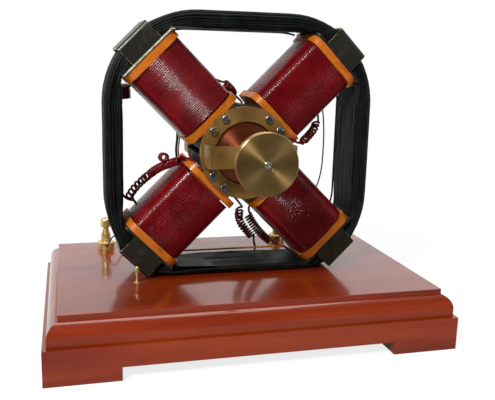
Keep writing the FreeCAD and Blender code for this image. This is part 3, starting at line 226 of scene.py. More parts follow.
def drawn_out(tree, place, scale=(1.0, 1.0, 1.0), degrees=0):
    """Coordinates scaled by side, or turned as the front shows it."""
    return add_node(tree, "ShaderNodeMapping", {
        "Vector": place, "Rotation": (0, math.radians(degrees), 0), "Scale": scale}).outputs[0]


def relief(tree, height, strength, depth, under=None, **settings):
    """Bump of a depth in millimetres, on top of the relief under it."""
    inputs = {"Height": height, "Strength": strength, "Distance": depth * MM}
    if under:
        inputs["Normal"] = under
    return add_node(tree, "ShaderNodeBump", inputs, **settings).outputs[0]


def made_once(build):
    """Keep one material for each name, so that pieces share it."""
    kept = {}

    def get(*choices):
        if choices not in kept:
            kept[choices] = build(*choices)
        return kept[choices]

    return get


def along_grain(along, share):
    """Scales that draw a pattern out along one side of the base."""
    return (share, 1.0, 1.0) if along == "x" else (1.0, share, 1.0)


@made_once
def polished_mahogany(along):
    """Mahogany rubbed with shellac: red brown ribbons, short dark pores, a wet gloss."""
    material, tree, place = start_material("polished_mahogany_along_" + along)
    grain = drawn_out(tree, place, along_grain(along, 0.07))
    ribbon = mottle(tree, grain, 26, 5.0, 0.6, 0.6)
    ground = shades(tree, ribbon, (0.30, tone("mahogany_dark")), (0.52, tone("mahogany")),
                    (0.74, tone("mahogany_light")))
    streak = rescale(tree, mottle(tree, grain, 1.6, 3.0, 0.7), 0.35, 0.7, 0.0, 0.2)
    streaked = blend(tree, streak, ground, tone("mahogany_dark"))
    pores = mottle(tree, drawn_out(tree, place, along_grain(along, 0.04)), 0.55, 1.0)
    pore = rescale(tree, pores, 0.66, 0.8, 0.0, 0.5)
    wood = blend(tree, pore, streaked, linear("#3a0d05"))
    rough = rescale(tree, mottle(tree, place, 40, 2.0), 0.3, 0.7, 0.28, 0.42)
    ripple = relief(tree, mottle(tree, grain, 9, 1.0), 0.06, 0.3)
    surface(tree, base=wood, rough=rough, coat_normal=ripple,
            normal=relief(tree, pore, 0.25, 0.1, ripple, invert=True), coat=0.95,
            coat_rough=0.13, coat_ior=1.5, specular=0.1)
    return material


@made_once
def amber_varnish(lean):
    """Varnished wood of the bobbins: warm amber with short darker marks across its edge."""
    material, tree, place = start_material("amber_varnish_" + lean)
    turned = drawn_out(tree, place, degrees=45 if lean == "rising" else -45)
    marks = mottle(tree, drawn_out(tree, turned, (1.0, 1.0, 0.22)), 2.6, 4.0, 0.65, 0.4)
    ground = shades(tree, marks, (0.33, tone("flange_dark")), (0.48, tone("flange")),
                    (0.8, linear("#a85c04")))
    stained = rescale(tree, mottle(tree, place, 14, 3.0), 0.5, 0.75, 0.0, 0.45)
    surface(tree, base=blend(tree, stained, ground, linear("#8a4206")), rough=0.5,
            normal=relief(tree, marks, 0.25, 0.2), coat=0.2, coat_rough=0.22, specular=0.15)
    return material


@made_once
def shellacked_wire(lean):
    """Cotton covered wire soaked in red shellac: deep gloss, bright in dashes along the turns."""
    material, tree, place = start_material("red_shellacked_wire_" + lean)
    patch = mottle(tree, place, 14, 3.0)
    ground = shades(tree, patch, (0.32, linear("#4a0004")), (0.52, tone("wire_red")),
                    (0.8, tone("wire_light")))
    turned = drawn_out(tree, place, degrees={"rising": -45, "falling": 45, "loose": 0}[lean])
    along = 1.0 if lean == "loose" else 0.2
    bead = mottle(tree, drawn_out(tree, turned, (along, along, 1.0)), 1.0, 2.0)
    surface(tree, base=ground, rough=rescale(tree, patch, 0.3, 0.7, 0.3, 0.45),
            normal=relief(tree, bead, 0.8, 0.5), coat=0.5, coat_rough=0.12, specular=0.08)
    return material


@made_once
def black_varnished_wire():
    """Iron wire under thick black varnish: dull gloss, rubbed grey along the wires."""
    material, tree, place = start_material("black_varnished_iron_wire")
    rub = mottle(tree, place, 11, 5.0, 0.65)
    ground = shades(tree, rub, (0.42, tone("yoke")), (0.62, linear("#0e110f")),
                    (0.8, tone("yoke_worn")))
    surface(tree, base=ground, rough=rescale(tree, rub, 0.3, 0.7, 0.4, 0.6),
            normal=relief(tree, mottle(tree, place, 2.2, 3.0), 0.35, 0.25), specular=0.14)
    return material


@made_once
def varnished_band():
    """Iron band under dark varnish: olive brown, faintly mottled, soft sheen."""
    material, tree, place = start_material("dark_varnished_iron_band")
    patch = mottle(tree, place, 7, 5.0, 0.6)
    ground = shades(tree, patch, (0.36, linear("#1c1b15")), (0.52, tone("strap")),
                    (0.72, linear("#2a2b20")))
    surface(tree, base=ground, rough=rescale(tree, patch, 0.3, 0.7, 0.3, 0.48),
            normal=relief(tree, mottle(tree, place, 1.4, 3.0), 0.12, 0.15), metallic=0.3,
            specular=0.5)
    return material


@made_once
def worn_edge():
    """Bare metal where varnish has rubbed off an edge, bright in places and dark in others."""
    material, tree, place = start_material("worn_metal_edge")
    wear = mottle(tree, place, 5, 4.0, 0.6)
    ground = shades(tree, wear, (0.4, tone("strap")), (0.56, tone("strap_worn")),
                    (0.8, tone("strap_worn")))
    surface(tree, base=ground, metallic=0.8, rough=0.35)
    return material


@made_once
def fibre_card():
    """Pressed black fibre card: dull, with short fibres. Its black is painted shade in the gap
    between each outer flange and its end plate.
    """
    material, tree, place = start_material("black_fibre_card")
    fibres = mottle(tree, place, 0.8, 4.0)
    ground = shades(tree, fibres, (0.4, linear("#100f0d")), (0.7, linear("#2a2723")))
    surface(tree, base=ground, normal=relief(tree, fibres, 0.3, 0.1), rough=0.75)
    return material


@made_once
def pale_lit_plate():
    """Rolled bright sheet, slightly tarnished: pale with warm stains. Its pale tone is a painted
    highlight, used only on the lit upper left end plate.
    """
    material, tree, place = start_material("rolled_bright_sheet")
    ground = shades(tree, mottle(tree, place, 6, 4.0), (0.35, linear("#948c74")),
                    (0.5, tone("plate")), (0.8, linear("#e0dac8")))
    lines = mottle(tree, drawn_out(tree, place, (1.0, 0.05, 1.0)), 0.7, 2.0)
    surface(tree, base=ground, normal=relief(tree, lines, 0.15, 0.05), metallic=0.6, rough=0.4)
    return material


@made_once
def laminated_iron():
    """Oiled iron sheets stacked front to back: each edge shows as a fine line. Its tones are kept
    near black as painted shade, where the shoes show between flanges and ring.
    """
    material, tree, place = start_material("laminated_core_iron")
    sheets = ridges(tree, place, 1.0, 0.4, 1.0, wave_type="BANDS", bands_direction="Y")
    ground = shades(tree, mottle(tree, place, 8, 4.0), (0.35, linear("#1c1a17")),
                    (0.55, tone("iron")), (0.8, linear("#4a4640")))
    surface(tree, base=ground, normal=relief(tree, sheets, 0.4, 0.1), metallic=0.4, rough=0.6,
            specular=0.2)
    return material


@made_once
def aged_brass():
    """Hand finished brass gone brown: fine scratches, darker stains."""
    material, tree, place = start_material("aged_rubbed_brass")
    stain = mottle(tree, place, 24, 4.0)
    ground = shades(tree, stain, (0.3, tone("brass_dark")), (0.5, tone("brass")),
                    (0.8, linear("#a88a4e")))
    lines = mottle(tree, drawn_out(tree, place, (0.06, 1.0, 1.0)), 0.5, 2.0)
    surface(tree, base=ground, rough=rescale(tree, stain, 0.3, 0.7, 0.42, 0.52),
            normal=relief(tree, lines, 0.18, 0.06), metallic=0.75)
    return material


@made_once
def turned_metal(kind):
    """Metal turned in a lathe: rings round the shaft draw the light into two fans."""
    material, tree, place = start_material("turned_" + kind)
    centred = add_node(tree, "ShaderNodeMapping", {
        "Vector": place, "Location": (0, 0, -SHAFT_Z)}).outputs[0]
    rings = ridges(tree, centred, 0.9, 1.5, wave_type="RINGS", rings_direction="Y")
    darker = {"disc_brass": "#b08c50", "copper": "#8e4429", "steel": "#8c8e88"}[kind]
    lighter = {"disc_brass": "#d4b478", "copper": "#c27350", "steel": "#d4d6d0"}[kind]
    ground = shades(tree, mottle(tree, place, 16, 4.0), (0.3, linear(darker)),
                    (0.5, tone(kind)), (0.8, linear(lighter)))
    around = add_node(tree, "ShaderNodeTangent", direction_type="RADIAL", axis="Y").outputs[0]
    surface(tree, base=ground, normal=relief(tree, rings, 0.04, 0.01), tangent=around,
            metallic=0.96, rough=0.3, anisotropic=0.88, turn=0.25)
    return material


@made_once
def bright_brass():
    """Lacquered turned brass: clear yellow gloss with faint turning lines."""
    material, tree, place = start_material("bright_lacquered_brass")
    ground = shades(tree, mottle(tree, place, 4, 3.0), (0.32, linear("#b8985c")),
                    (0.55, tone("bright_brass")), (0.8, linear("#ecd8a0")))
    lines = ridges(tree, place, 0.5, 0.6, wave_type="BANDS", bands_direction="Z")
    surface(tree, base=ground, normal=relief(tree, lines, 0.08, 0.03), metallic=0.8, rough=0.3)
    return material


@made_once
def screw_steel():
    """Nickelled steel screws: bright, with small dark pits."""
    material, tree, place = start_material("nickelled_steel")
    pits = mottle(tree, place, 1.2, 4.0, 0.6)
    ground = shades(tree, pits, (0.36, linear("#6e706c")), (0.52, tone("steel")),
                    (0.8, linear("#dcdcd4")))
    surface(tree, base=ground, normal=relief(tree, pits, 0.2, 0.08), metallic=1.0, rough=0.26)
    return material


@made_once
def braided_lead(kind):
    """Varnished cotton braid over a lead: small crossing ribs."""
    material, tree, place = start_material(kind + "_braid")
    braid = ridges(tree, place, 0.9, 0.5, wave_type="BANDS", bands_direction="DIAGONAL")
    darker = "#121210" if kind == "black_lead" else "#6a3a10"
    ground = shades(tree, mottle(tree, place, 3, 3.0), (0.35, linear(darker)), (0.6, tone(kind)))
    surface(tree, base=ground, normal=relief(tree, braid, 0.35, 0.12), rough=0.5, specular=0.2)
    return material


# handling of objects
MERGE_GAP = 0.002 * MM
FLAT_DEGREES = 0.5


def deselect_all():
    if bpy.context.object and bpy.context.object.mode != "OBJECT":
        bpy.ops.object.mode_set(mode="OBJECT")
    bpy.ops.object.select_all(action="DESELECT")


def pick(*pieces):
    deselect_all()
    for piece in pieces:
        piece.select_set(True)
    bpy.context.view_layer.objects.active = pieces[-1]


def named(name):
    """The object just added, under its own name."""
    piece = bpy.context.object
    piece.name = name
    piece.data.name = name
    return piece


def apply_all(piece):
    pick(piece)
    bpy.ops.object.transform_apply(location=True, rotation=True, scale=True)
    for modifier in list(piece.modifiers):
        bpy.ops.object.modifier_apply(modifier=modifier.name)


def smooth(piece, degrees=32):
    pick(piece)
    bpy.ops.object.shade_smooth_by_angle(angle=math.radians(degrees))


def ease_edges(piece, width, degrees=35, segments=2, worn=False):
    """Round the piece's sharp edges, as another finish where they are worn."""
    pick(piece)
    bpy.ops.object.modifier_add(type="BEVEL")
    bevel = piece.modifiers[-1]
    bevel.width = width
    bevel.segments = segments
    bevel.limit_method = "ANGLE"
    bevel.angle_limit = math.radians(degrees)
    bevel.miter_outer = "MITER_ARC"
    if worn:
        bevel.material = 1
    apply_all(piece)


def finish_as(piece, finishes, body, slot, *nodes):
    """Give a piece its finish and its body, and hide the frame nodes that it stands for. The slot is
    not used.
    """
    for row, finish in enumerate(finishes):
        if row < len(piece.data.materials):
            piece.data.materials[row] = finish
        else:
            piece.data.materials.append(finish)
    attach(piece, body)
    if nodes:
        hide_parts(*nodes)
    return piece


def fair_copy(node, name=None):
    """The shape of a frame node as one clean mesh with its flat faces whole."""
    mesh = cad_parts[node].data.copy()
    mesh.materials.clear()
    piece = bpy.data.objects.new(name or node + "_finished", mesh)
    bpy.context.collection.objects.link(piece)
    pick(piece)
    bpy.ops.object.mode_set(mode="EDIT")
    bpy.ops.mesh.select_all(action="SELECT")
    bpy.ops.mesh.remove_doubles(threshold=MERGE_GAP)
    bpy.ops.mesh.dissolve_limited(angle_limit=math.radians(FLAT_DEGREES))
    bpy.ops.object.mode_set(mode="OBJECT")
    return piece


def finished_node(node, finishes, slot, edge=0.0, body=FRAME_BODY, worn=False, degrees=35):
    """A frame node with eased edges and its finish."""
    piece = fair_copy(node)
    for finish in finishes:
        piece.data.materials.append(finish)
    if edge:
        ease_edges(piece, edge, degrees=degrees, worn=worn)
    smooth(piece)
    if edge:
        bpy.ops.object.modifier_add(type="WEIGHTED_NORMAL")
        piece.modifiers[-1].keep_sharp = True
        apply_all(piece)
    return finish_as(piece, finishes, body, slot, node)


def lean_of(arm):
    """Which way an arm slopes, seen from the front."""
    return "rising" if arm in ("upper_right", "lower_left") else "falling"


def arm_matrix(arm):
    return Matrix.Translation((0, 0, SHAFT_Z)) @ Matrix.Rotation(math.radians(ARMS[arm]), 4, "Y")


def copy_placed(piece, name, matrix):
    """A copy with its own mesh, its place in the mesh."""
    twin = piece.copy()
    twin.data = piece.data.copy()
    twin.name = name
    twin.data.name = name
    twin.data.transform(matrix)
    bpy.context.collection.objects.link(twin)
    return twin


def wire_piece(name, lines, thickness, sides=8, smoothed=True):
    """Round wires along lines of points, as one mesh with closed ends."""
    curve = bpy.data.curves.new(name, "CURVE")
    curve.dimensions = "3D"
    curve.bevel_mode = "ROUND"
    curve.bevel_depth = thickness / 2
    curve.bevel_resolution = max(0, sides // 4 - 1) if sides > 4 else 0
    curve.use_fill_caps = True
    curve.resolution_u = 3
    for line in lines:
        spline = curve.splines.new("NURBS" if smoothed else "POLY")
        spline.points.add(len(line) - 1)
        for point, place in zip(spline.points, line):
            point.co = (*place, 1)
        if smoothed:
            spline.order_u = 3
            spline.use_endpoint_u = True
    piece = bpy.data.objects.new(name, curve)
    bpy.context.collection.objects.link(piece)
    pick(piece)
    bpy.ops.object.convert(target="MESH")
    piece = named(name)
    bpy.ops.object.shade_smooth()
    return piece


# the wooden base
class MOTOR_OT_base(bpy.types.Operator):
    """Plinth rails and moulded top board in polished mahogany"""
    bl_idname = "motor.base"
    bl_label = "Wooden base"

    def execute(self, context):
        edge = sizes().wood_edge
        for side, along in (("front", "x"), ("back", "x"), ("left", "y"), ("right", "y")):
            finished_node("plinth_rail_" + side, [polished_mahogany(along)], "mahogany", edge)
        finished_node("top_board", [polished_mahogany("x")], "mahogany", edge)
        finished_node("wood_screws", [bright_brass()], "steel", sizes().metal_edge)
        return {"FINISHED"}


# the wound magnets
WINDING_HALF_WIDTH = 23.5 * MM
WINDING_HALF_DEPTH = 24.4 * MM
WINDING_CORNER = 11.5 * MM
SWELL_SHARE = 0.8
SIDE_STEPS = 4
CORNER_STEPS = 5
WANDER_STEPS = (0.9, 3.1, 0.37)
RADIAL_SEED = Vector((9, 5, 2))
RADIAL_SINK = 0.3
RADIAL_SHARE = 0.7
SPAN_LOW = 37.0 * MM
SPAN_HIGH = 92.4 * MM
EDGE_SLACK = 0.4 * MM
REACH_MOVES = ((34.2, 31.8), (39.2, 37.0), (90.4, 92.4), (96.6, 97.9), (98.6, 99.9))


def winding_loop():
    """One turn seen along its arm, with swelling sides: quarter, distance out, distance along."""
    size = sizes()
    half_x = WINDING_HALF_WIDTH - size.winding_wire / 2
    half_y = WINDING_HALF_DEPTH - size.winding_wire / 2
    corner = WINDING_CORNER - size.winding_wire / 2
    sides = [(half_x, half_y - corner), (half_y, half_x - corner)]
    corner_drop = size.winding_bow * (1 - SWELL_SHARE)
    loop = []
    for quarter in range(4):
        out, reach = sides[quarter % 2]
        for step in range(SIDE_STEPS + 1):
            share = step / SIDE_STEPS * 2 - 1
            bow = size.winding_bow * (SWELL_SHARE - share * share)
            loop.append((quarter, out + bow, share * reach))
        for step in range(1, CORNER_STEPS):
            angle = step / CORNER_STEPS * math.pi / 2
            loop.append((quarter, out - corner + corner * math.cos(angle) - corner_drop,
                         reach + corner * math.sin(angle) - corner_drop))
    return loop


def winding_line():
    """The turns of one winding, slightly uneven."""
    wire, wander = sizes().winding_wire, sizes().winding_wander
    turns = int((SPAN_HIGH - SPAN_LOW) / sizes().winding_pitch)
    loop = winding_loop()
    line = []
    for turn in range(turns):
        for row, (quarter, out, along) in enumerate(loop):
            share = turn + row / len(loop)
            seed = Vector([value * step for value, step in zip((share, quarter, turn), WANDER_STEPS)])
            axial = noise.noise(seed) * wander
            radial = (noise.noise(seed + RADIAL_SEED) - RADIAL_SINK) * wander * RADIAL_SHARE
            turned = Matrix.Rotation(quarter * math.pi / 2, 3, "Z") @ Vector((out + radial, along, 0))
            height = SPAN_LOW + wire / 2 + (SPAN_HIGH - SPAN_LOW - wire) * share / turns + axial
            line.append(turned + Vector((0, 0, height)))
    return line


def spread_along_arms(piece):
    """Move each part of a magnet out or in to the place where it is seen on its arm."""
    for point in piece.data.vertices:
        x, z = point.co.x, point.co.z - SHAFT_Z
        reach = (abs(x) + abs(z)) * HALF_DIAGONAL
        moved = reach
        for (low, low_moved), (high, high_moved) in zip(REACH_MOVES, REACH_MOVES[1:]):
            if reach >= low * MM - EDGE_SLACK:
                share = (reach / MM - low) / (high - low)
                moved = (low_moved + (high_moved - low_moved) * share) * MM
        if moved != reach:
            shift = (moved - reach) * HALF_DIAGONAL
            point.co.x += shift * math.copysign(1.0, x)
            point.co.z += shift * math.copysign(1.0, z)


class MOTOR_OT_windings(bpy.types.Operator):
    """Four windings of shellacked wire, laid turn by turn"""
    bl_idname = "motor.windings"
    bl_label = "Windings"

    def execute(self, context):
        turns = wire_piece("winding_pattern", [winding_line()], sizes().winding_wire,
                           smoothed=False)
        for arm in ARMS:
            wound = copy_placed(turns, "wound_wire_" + arm, arm_matrix(arm))
            nodes = ["winding_turns"] if arm == "upper_right" else []
            finish = shellacked_wire(lean_of(arm))
            finish_as(wound, [finish], FRAME_BODY, "shellac_red", *nodes)
            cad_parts["winding_" + arm].data.materials.clear()
            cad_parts["winding_" + arm].data.materials.append(finish)
        bpy.data.objects.remove(turns)
        return {"FINISHED"}


class MOTOR_OT_bobbins(bpy.types.Operator):
    """Bobbins with rounded flanges, black cards as painted shade, end plates painted lit or shaded,
    and iron cores darkened as painted shade
    """
    bl_idname = "motor.bobbins"
    bl_label = "Bobbins and cores"

    def execute(self, context):
        for arm in ARMS:
            bobbin = finished_node("bobbin_" + arm, [amber_varnish(lean_of(arm))],
                                   "bobbin_wood", sizes().flange_edge, degrees=50)
            spread_along_arms(bobbin)
            # The cores' iron is darkened to near black as painted shade.
            finished_node("pole_core_" + arm, [laminated_iron()], "pole_iron",
                          sizes().metal_edge)
        # The black cards paint the shade in the gap between the outer flanges and the end plates.
        spread_along_arms(finished_node("insulating_cards", [fibre_card()], "card_black"))
        plates = finished_node("end_plates", [pale_lit_plate(), varnished_band()], "bright_plate",
                               sizes().metal_edge)
        spread_along_arms(plates)
        # Painted light: the upper left end plate, towards the key lamp, takes the pale sheet as a
        # painted highlight; the others take the dark band as painted shade.
        for face in plates.data.polygons:
            lit_upper_left = face.center.x < 0 and face.center.z > SHAFT_Z
            face.material_index = 0 if lit_upper_left else 1
        return {"FINISHED"}


# the yoke
FOOT_LEVEL = SHAFT_Z - BOARD_TOP
LEG_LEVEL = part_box("yoke_top")[1].z - SHAFT_Z
LEG_FRONT, LEG_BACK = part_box("yoke_top")[0].y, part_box("yoke_top")[1].y
LEG_THICKNESS = 13.0 * MM
FOOT_THICKNESS = 8.5 * MM
CLAMPED_REACH = 114.2 * MM
CLAMPED_THICKNESS = 11.7 * MM
LEG_CORNER = 4.2 * MM
PLATE_FACE = 99.9 * MM
PLATE_REACH = 26.0 * MM
FOOT_SHARE = 0.75
GROUP_WIDTH = 5.5 * MM
WIRE_SPACING = 0.94
BEND_STEPS = 8
LEVEL_STEPS = 10
EASE_STEPS = 7
SINK_START = 0.2
SINK_RISE = 1.6
PLATE_SLOPE = 1.1
SEED_STEP = 0.01
DRIFT_STEPS = (0.16, 170, 3.1)
SWAY_STEPS = (0.13, 230, 8.4)
GROUP_STEP = 0.05
GROUP_SEEDS = 7.0


def leg_path(level, diagonal):
    """Places of a wire from diagonal to diagonal, level between two bends."""
    radius = (level - diagonal) / (1 - HALF_DIAGONAL)
    flat = level - radius
    places = []
    for step in range(BEND_STEPS + 1):
        bend = math.pi / 4 * (1 - step / BEND_STEPS)
        places.append((-flat - radius * math.sin(bend), flat + radius * math.cos(bend)))
    rising = [(-x, z) for x, z in reversed(places)]
    for step in range(1, LEVEL_STEPS):
        places.append((-flat + 2 * flat * step / LEVEL_STEPS, level))
    return places + rising


def stray(row, seed, steps):
    row_step, seed_step, layer = steps
    return noise.noise(Vector((row * row_step, seed * seed_step, layer)))


def leg_wire(share, depth, inward, walked, depth_share, level, thickness, seed):
    """One wire of a leg, strayed and sunk in groups, and pushed clear of the end plates."""
    size = sizes()
    places = leg_path(level - thickness * share,
                      (CLAMPED_REACH - CLAMPED_THICKNESS * share) * HALF_DIAGONAL)
    floor_face = PLATE_FACE + size.yoke_wire / 2
    line = []
    for row, (x, z) in enumerate(places):
        ease = min(1.0, min(row, len(places) - 1 - row) / EASE_STEPS)
        drift = stray(row, seed, DRIFT_STEPS)
        sway = stray(row, seed, SWAY_STEPS)
        spot = Vector((row * GROUP_STEP, walked / GROUP_WIDTH, seed % GROUP_SEEDS))
        sunk = min(1.0, max(0.0, SINK_START + noise.noise(spot) * SINK_RISE))
        sink = depth_share * size.yoke_sink * sunk * ease
        lift = -abs(drift) * size.yoke_wander * ease - inward.y * sink
        reach = (abs(x) + z) * HALF_DIAGONAL
        side = abs(abs(x) - z) * HALF_DIAGONAL
        push = max(0.0, floor_face - max(0.0, side - PLATE_REACH) * PLATE_SLOPE - reach)
        deep = depth + sway * size.yoke_wander * 2 * ease + inward.x * sink
        line.append(Vector((x + math.copysign(push * HALF_DIAGONAL, x), deep,
                            z + lift + push * HALF_DIAGONAL)))
    return line


def bundle_places(thickness):
    """Places of the wires round a leg's section, as share of its thickness and depth."""
    wire = sizes().yoke_wire
    bend = LEG_CORNER - wire / 2
    low = Vector((LEG_FRONT + wire / 2, wire / 2))
    high = Vector((LEG_BACK - wire / 2, thickness - wire / 2))
    corners = [low, Vector((high.x, low.y)), high, Vector((low.x, high.y))]
    places = []
    walked, passed = 0.0, 0.0
    for row, start in enumerate(corners):
        finish = corners[(row + 1) % 4]
        way = (finish - start).normalized()
        across = Vector((-way.y, way.x))
        straight = max(0.0, (finish - start).length - 2 * bend)
        quarter = bend * math.pi / 2
        while walked < straight + quarter:
            inward = across
            if walked < straight:
                spot = start + way * (bend + walked)
            else:
                angle = (walked - straight) / bend
                spot = finish - way * bend * (1 - math.sin(angle))
                spot += across * bend * (1 - math.cos(angle))
                inward = across * math.cos(angle) - way * math.sin(angle)
            places.append((spot.y / thickness, spot.x, inward, passed + walked))
            walked += wire * WIRE_SPACING
        walked -= straight + quarter
        passed += straight + quarter
    return places


def yoke_heart(leg):
    """What is seen between the wires of a leg: its own form, a little thinner."""
    heart = fair_copy("yoke_" + leg, "yoke_heart_" + leg)
    bpy.ops.object.modifier_add(type="DISPLACE")
    shrink = heart.modifiers[-1]
    shrink.strength = -sizes().yoke_heart
    shrink.mid_level = 0.0
    apply_all(heart)
    return heart


class MOTOR_OT_yoke(bpy.types.Operator):
    """The square loop of black varnished iron wire with its amber strand"""
    bl_idname = "motor.yoke"
    bl_label = "Wire yoke"

    def execute(self, context):
        for leg, angle in LEGS.items():
            foot = leg == "bottom"
            level = FOOT_LEVEL if foot else LEG_LEVEL
            thickness = FOOT_THICKNESS if foot else LEG_THICKNESS
            turn = Matrix.Translation((0, 0, SHAFT_Z)) @ Matrix.Rotation(math.radians(angle), 4, "Y")
            lines = []
            for row, place in enumerate(bundle_places(thickness)):
                depth_share = 1.0 if foot else abs(place[2].x)
                line = leg_wire(*place, depth_share, level, thickness, row * SEED_STEP + angle)
                lines.append([turn @ point for point in line])
            heart = yoke_heart(leg)
            wires = wire_piece("yoke_wires_" + leg, lines, sizes().yoke_wire, smoothed=False)
            pick(heart, wires)
            bpy.ops.object.join()
            finish_as(wires, [black_varnished_wire()], FRAME_BODY, "yoke_black", "yoke_" + leg)
        strands = finished_node(
            "yoke_strands", [braided_lead("amber_lead"), black_varnished_wire()], "amber_wire")
        for face in strands.data.polygons:
            face.material_index = 0 if face.center.z < SHAFT_Z - FOOT_LEVEL * FOOT_SHARE else 1
        return {"FINISHED"}


class MOTOR_OT_straps(bpy.types.Operator):
    """Clamp straps of dark varnished band with worn bright edges"""
    bl_idname = "motor.straps"
    bl_label = "Clamp straps"

    def execute(self, context):
        for arm in ARMS:
            finished_node("clamp_strap_" + arm, [varnished_band(), worn_edge()], "strap_iron",
                          sizes().strap_edge, worn=True, degrees=50)
        finished_node("strap_screws", [screw_steel()], "steel", sizes().metal_edge)
        return {"FINISHED"}


# rings, bridges and what turns
class MOTOR_OT_hub(bpy.types.Operator):
    """Brass rings, bridges and bushes with their screws"""
    bl_idname = "motor.hub"
    bl_label = "Rings and bridges"

    def execute(self, context):
        edge = sizes().metal_edge
        for end in ("front", "rear"):
            finished_node(end + "_ring", [aged_brass()], "brass_dark", edge)
            finished_node(end + "_bridge", [aged_brass()], "brass_dark", edge)
        finished_node("bearings", [bright_brass()], "brass_bright", edge)
        for screws in ("ring_screws", "bridge_screws"):
            finished_node(screws, [screw_steel()], "steel", edge / 2)
        return {"FINISHED"}


class MOTOR_OT_rotor(bpy.types.Operator):
    """Shaft, copper rotor, brass disc and collars, which turn together"""
    bl_idname = "motor.rotor"
    bl_label = "Turning parts"

    def execute(self, context):
        edge = sizes().metal_edge
        finished_node("shaft", [turned_metal("steel")], "steel", edge / 2, ROTOR_BODY)
        finished_node("rotor_drum", [turned_metal("copper")], "copper", edge, ROTOR_BODY)
        finished_node("rotor_iron", [laminated_iron()], "pole_iron", 0.0, ROTOR_BODY)
        finished_node("brass_disc", [turned_metal("disc_brass")], "brass_bright", edge / 2,
                      ROTOR_BODY)
        finished_node("collars", [bright_brass()], "brass_bright", edge, ROTOR_BODY)
        return {"FINISHED"}


# binding posts and pins
class MOTOR_OT_terminals(bpy.types.Operator):
    """Binding posts with washers and milled nuts, and the nuts under the board"""
    bl_idname = "motor.terminals"
    bl_label = "Binding posts"

    def execute(self, context):
        edge = sizes().metal_edge
        for node in ("terminal_posts", "terminal_nuts"):
            finished_node(node, [bright_brass()], "brass_bright", edge)
        for row in POSTS:
            for kind in ("washer", "knob"):
                finished_node("terminal_%s_%d" % (kind, row), [bright_brass()], "brass_bright",
                              edge, "clamp_%s_%d" % (kind, row))
        finished_node("brass_pins", [bright_brass()], "brass_bright")
        return {"FINISHED"}


# leads, with their routes in millimetres
WINDING_FACE = 23.52
WINDING_BACK = 24.42
RING_RIM = 33.82
BOARD_GAP = 0.02
STUB_LENGTH = 1.3
CURL_STEPS = 8
CURL_UNEVEN = 0.06
CURL_SEED_STEPS = (0.11, 9)
CURLY_LEADS = {
    "curly_lead_lower_left": (
        (("face", "lower_left", 84.0, 1, 6.0),
         ("curl", [(-81.6, 8.0, 99.0), (-77.2, 8.0, 105.6), (-71.0, 8.0, 111.8),
                   (-66.6, 7.2, 115.6)], 7, 1.0, 0.0, 0.9),
         ("curl", [(-66.2, 7.1, 116.0), (-61.6, 5.8, 119.8), (-56.8, 2.6, 123.0),
                   (-52.4, -1.2, 125.4)], 9, 1.04, 0.0, 0.4),
         ("curl", [(-51.6, -1.9, 125.8), (-48.2, -5.4, 127.6), (-44.6, -9.0, 128.5)],
          5, 0.96, 0.0, 0.7),
         ("plain", [(-46.5, -13.0, 133.9), (-43.0, -17.0, 131.5), (-39.0, -21.0, 132.1),
                    (-35.4, -25.0, 128.0)]),
         ("ring", 199, -27.0)),
        (("loop", [(-56.8, 3.4, 130.0), (-55.8, -4.0, 130.6)], 4, 0.76, 0.1),)),
    "curly_lead_upper_right": (
        (("face", "upper_right", 66.0, 1, -2.0),
         ("curl", [(63.0, -2.0, 156.6), (61.6, -2.4, 152.0), (58.0, -4.4, 148.2),
                   (53.6, -8.2, 145.4), (49.9, -12.0, 143.3)], 8, 1.0, 0.2, 0.5),
         ("plain", [(45.6, -17.0, 142.4), (41.0, -21.0, 143.2), (38.0, -25.0, 145.2)]),
         ("ring", 18, -27.0)),),
    "curly_leads_lower": (
        (("face", "lower_right", 45.0, 1, 13.0),
         ("curl", [(13.6, 12.0, 81.0), (17.6, 14.5, 74.4), (22.2, 17.0, 68.4),
                   (27.0, 19.6, 63.0), (31.8, 22.0, 58.4), (37.0, 24.0, 54.4)],
          15, 1.15, 0.1, 0.6),
         ("plain", [(42.3, 25.0, 51.5), (48.8, 24.4, 49.2), (53.4, 22.4, 47.6)]),
         ("board", 54.6, 22.0)),
        (("face", "lower_left", 45.0, -1, 15.0),
         ("plain", [(-9.0, 21.0, 95.0), (-1.0, 27.0, 97.0), (6.0, 28.0, 93.0)]),
         ("curl", [(8.6, 20.0, 84.0), (8.4, 20.0, 77.0), (11.6, 22.0, 70.0),
                   (17.0, 25.0, 63.6), (21.6, 27.0, 58.4)], 11, 1.1, 0.35, 0.9),
         ("plain", [(24.0, 29.0, 53.0), (25.4, 28.4, 49.0)]),
         ("board", 24.0, 27.0))),
    "curly_leads_rear": (
        (("face", "upper_left", 50.0, 1, 15.0),
         ("curl", [(-6.0, 17.5, 184.5), (-1.0, 20.5, 180.5), (2.6, 25.0, 176.6)],
          7, 1.08, 0.0),
         ("ring", 72, 27.0)),
        (("face", "upper_left", 88.0, -1, 15.0),
         ("loop", [(-82.6, 25.2, 182.6), (-82.0, 25.4, 177.4), (-81.8, 25.4, 172.2)],
          6, 1.0, 0.7),
         ("plain", [(-84.6, 24.6, 168.0), (-88.4, 22.4, 160.0), (-88.9, 21.3, 148.0),
                    (-88.9, 21.3, 128.0), (-88.6, 21.2, 106.0), (-84.0, 18.0, 95.6)]),
         ("face", "lower_left", 84.0, 1, 15.0)))}
LEFT_LEAD = [
    (-45.0, WINDING_BACK, 159.6), (-45.0, 29.6, 159.6), (-43.4, 32.4, 155.0),
    (-40.6, 32.6, 147.6), (-41.0, 31.0, 139.4), (-42.2, 30.6, 131.6), (-41.0, 31.4, 124.0),
    (-42.6, 32.4, 117.4), (-45.0, 29.6, 113.4), (-45.0, WINDING_BACK, 113.4)]
